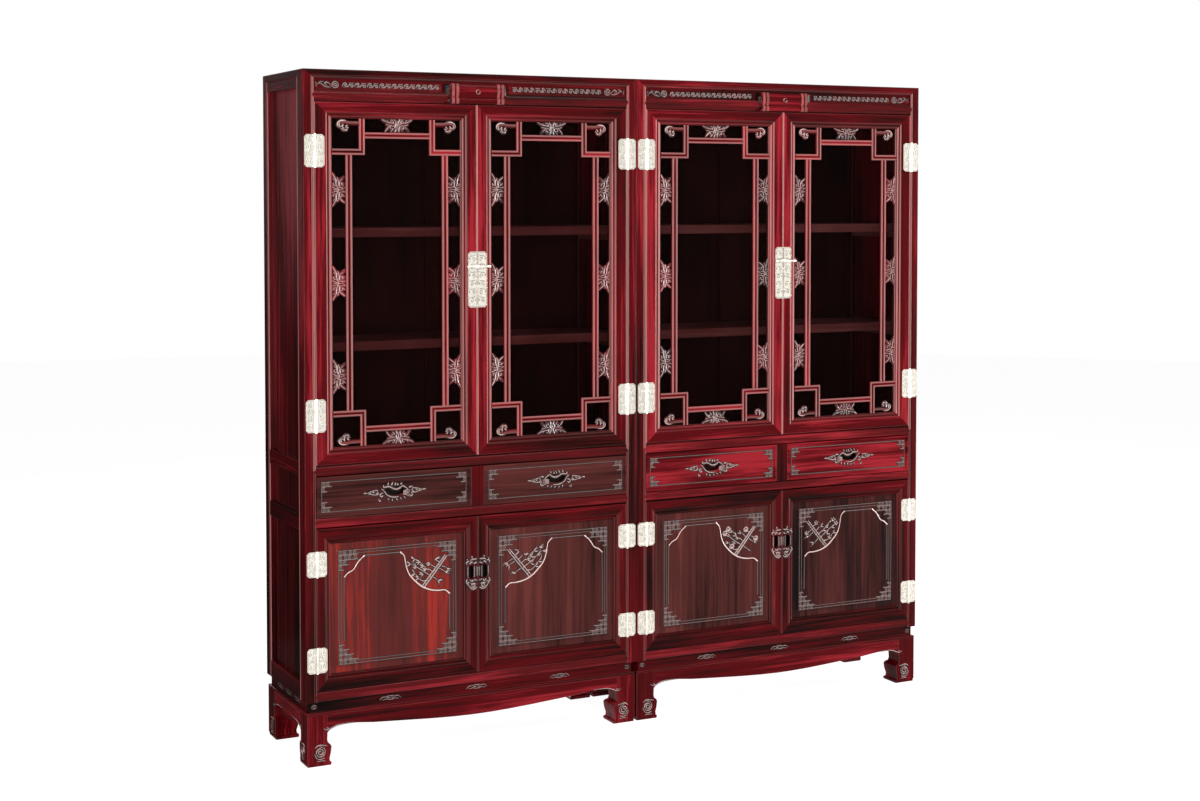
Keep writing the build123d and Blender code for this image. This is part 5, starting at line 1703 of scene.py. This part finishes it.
class BOOKCABINET_OT_brass(BookCabinetOperator, bpy.types.Operator):
    """Hinges, lock plates and their engraving"""
    bl_idname = "bookcabinet.brass"
    bl_label = "Brass"

    def execute(self, context):
        edge = context.scene.cabinet_sizes.metal_edge
        low, high = unit_box("left_unit_upper_left_door_lock_half")
        lock_middle = (high.x - LOCK_HALF_WIDTH / 2, (low.z + high.z) / 2)
        for node in ("fixed_hinge_leaves", "hinge_pins"):
            dress(node, "pale_brass", radius=edge).finished()
        fixed = Piece("fixed_hinge_engraving", "root", "engraved_lines")
        for level, hinges in HINGES.items():
            drawings = [((start + end) / 2, hinge_engraving(HINGE_LEAF_WIDTH, end - start))
                        for start, end in hinges]
            for door, side in doors(level):
                dress(door + "_hinge_leaves", "pale_brass", radius=edge).finished()
                moving = Piece(door + "_hinge_engraving", door, "engraved_lines")
                for middle, drawing in drawings:
                    fixed.add(drawing, side @ on_front(FIXED_LEAF_X, middle, PLATE_FACE))
                    moving.add(drawing, side @ on_front(DOOR_LEAF_X, middle, PLATE_FACE, stretch=(-1, 1)))
                moving.finished(flat_faces=False)
        fixed.finished(flat_faces=False)
        drawing = lock_engraving(LOCK_HALF_WIDTH, high.z - low.z)
        for door, side in doors("upper"):
            dress(door + "_lock_half", "pale_brass", radius=edge).finished()
            piece = Piece(door + "_lock_engraving", door, "engraved_lines")
            piece.add(drawing, side @ on_front(*lock_middle, PLATE_FACE))
            piece.finished(flat_faces=False)
        return {"FINISHED"}


# ---- stage ----

# the camera: where it stands in the frame, how far it turns right and down, its lens, the width of its
# sensor, and how far its view is shifted up
CAMERA_PLACE = (-2.7577, -5.396, 1.6905)
CAMERA_TURN = 26.774
CAMERA_TILT = 2.263
CAMERA_LENS = 55.515
CAMERA_SENSOR = 36.0
CAMERA_SHIFT = -0.11

# area lamps: name, place, width, height, watts
LAMPS = (
    ("left_softbox", (-3.1, -5.5, 1.2), 1.7, 2.4, 225),
    ("right_softbox", (5.0, -1.5, 1.2), 1.7, 2.4, 265),
    ("high_softbox", (0.2, -3.9, 4.2), 3.6, 0.5, 90),
    ("back_softbox", (-1.4, 5.2, 2.4), 2.6, 2.2, 150),
)
AIM = Vector((0, 0, 1.0))
WORLD_LIGHT = 0.12
FLOOR_RADIUS = 14.0
# the dark card: place, half-width, bend as (distance, height), and turn
CARD_PLACE = (-1.22, -0.22, 0.004)
CARD_HALF_WIDTH = 0.6
CARD_BEND = ((0.0, 0.0), (1.6, 0.0), (1.9, 3.0))
CARD_TURN = 16.0
CARD_GREY = (0.02, 0.02, 0.02, 1)


def add_floor():
    shape = bmesh.new()
    bmesh.ops.create_circle(shape, cap_ends=True, segments=96, radius=FLOOR_RADIUS)
    mesh = bpy.data.meshes.new("floor")
    shape.to_mesh(mesh)
    shape.free()
    mesh.materials.append(floor_material("pale_floor", tuple(bpy.context.scene.cabinet_finish.floor)))
    floor = bpy.data.objects.new("floor", mesh)
    bpy.context.scene.collection.objects.link(floor)


def add_world():
    """Plain light from all round, seen as white where it is looked at."""
    world = bpy.data.worlds.new("studio")
    bpy.context.scene.world = world
    world.use_nodes = True
    tree = world.node_tree
    plain = tree.nodes["Background"]
    plain.inputs["Color"].default_value = WHITE
    plain.inputs["Strength"].default_value = WORLD_LIGHT
    white = tree.nodes.new("ShaderNodeBackground")
    white.inputs["Color"].default_value = WHITE
    mix = tree.nodes.new("ShaderNodeMixShader")
    tree.links.new(seen_directly(tree), mix.inputs[0])
    tree.links.new(plain.outputs[0], mix.inputs[1])
    tree.links.new(white.outputs[0], mix.inputs[2])
    tree.links.new(mix.outputs[0], tree.nodes["World Output"].inputs["Surface"])


def add_card():
    """Bent dark card on the floor beside the cabinets, which only their gloss shows."""
    shape = bmesh.new()
    rows = [[shape.verts.new((across, along, height)) for across in (-CARD_HALF_WIDTH, CARD_HALF_WIDTH)]
            for along, height in CARD_BEND]
    for near, far in zip(rows, rows[1:]):
        shape.faces.new((*near, *reversed(far)))
    mesh = bpy.data.meshes.new("dark_card")
    shape.to_mesh(mesh)
    shape.free()
    made, shader, *_ = new_material("black_cloth")
    shader.inputs["Base Color"].default_value = CARD_GREY
    shader.inputs["Roughness"].default_value = 1.0
    mesh.materials.append(made)
    card = bpy.data.objects.new("dark_card", mesh)
    card.location = CARD_PLACE
    card.rotation_euler = (0, 0, math.radians(CARD_TURN))
    bpy.context.scene.collection.objects.link(card)
    for kind in ("camera", "diffuse", "transmission", "shadow"):
        setattr(card, "visible_" + kind, False)


def add_lamps():
    for name, place, width, height, watts in LAMPS:
        data = bpy.data.lights.new(name, "AREA")
        data.shape = "RECTANGLE"
        data.size, data.size_y, data.energy = width, height, watts
        lamp = bpy.data.objects.new(name, data)
        lamp.location = place
        lamp.rotation_euler = (AIM - Vector(place)).to_track_quat("-Z", "Y").to_euler()
        bpy.context.scene.collection.objects.link(lamp)


def add_camera():
    data = bpy.data.cameras.new("camera")
    data.lens, data.sensor_width, data.shift_y = CAMERA_LENS, CAMERA_SENSOR, CAMERA_SHIFT
    data.sensor_fit = "HORIZONTAL"
    camera = bpy.data.objects.new("camera", data)
    camera.location = CAMERA_PLACE
    camera.rotation_euler = (math.radians(90 - CAMERA_TILT), 0, math.radians(-CAMERA_TURN))
    bpy.context.scene.collection.objects.link(camera)
    bpy.context.scene.camera = camera


class BOOKCABINET_OT_stage(BookCabinetOperator, bpy.types.Operator):
    """Floor, lights, background and camera"""
    bl_idname = "bookcabinet.stage"
    bl_label = "Stage"

    def execute(self, context):
        add_floor()
        add_world()
        add_card()
        add_lamps()
        add_camera()
        return {"FINISHED"}


# ---- panel and run ----

class BOOKCABINET_PT_panel(bpy.types.Panel):
    bl_label = "Book Cabinet"
    bl_idname = "BOOKCABINET_PT_panel"
    bl_space_type = "VIEW_3D"
    bl_region_type = "UI"
    bl_category = "Book Cabinet"

    def draw(self, context):
        for settings in (context.scene.cabinet_sizes, context.scene.cabinet_finish):
            for name in settings.__annotations__:
                self.layout.prop(settings, name)
        for operator in OPERATORS:
            self.layout.operator(operator.bl_idname)


OPERATORS = (BOOKCABINET_OT_carcass, BOOKCABINET_OT_front_rails, BOOKCABINET_OT_cornice,
             BOOKCABINET_OT_scroll_block, BOOKCABINET_OT_stand, BOOKCABINET_OT_glass_doors,
             BOOKCABINET_OT_lattice, BOOKCABINET_OT_panelled_doors, BOOKCABINET_OT_drawers,
             BOOKCABINET_OT_brass, BOOKCABINET_OT_stage)
CLASSES = (CabinetSizes, CabinetFinish, *OPERATORS, BOOKCABINET_PT_panel)


def register():
    for each in CLASSES:
        bpy.utils.register_class(each)
    bpy.types.Scene.cabinet_sizes = PointerProperty(type=CabinetSizes)
    bpy.types.Scene.cabinet_finish = PointerProperty(type=CabinetFinish)


def unregister():
    del bpy.types.Scene.cabinet_finish
    del bpy.types.Scene.cabinet_sizes
    for each in reversed(CLASSES):
        bpy.utils.unregister_class(each)


def main():
    register()
    bpy.context.scene.view_settings.view_transform = "Standard"
    for operator in OPERATORS:
        group, name = operator.bl_idname.split(".")
        getattr(getattr(bpy.ops, group), name)()


if __name__ == "__main__":
    main()
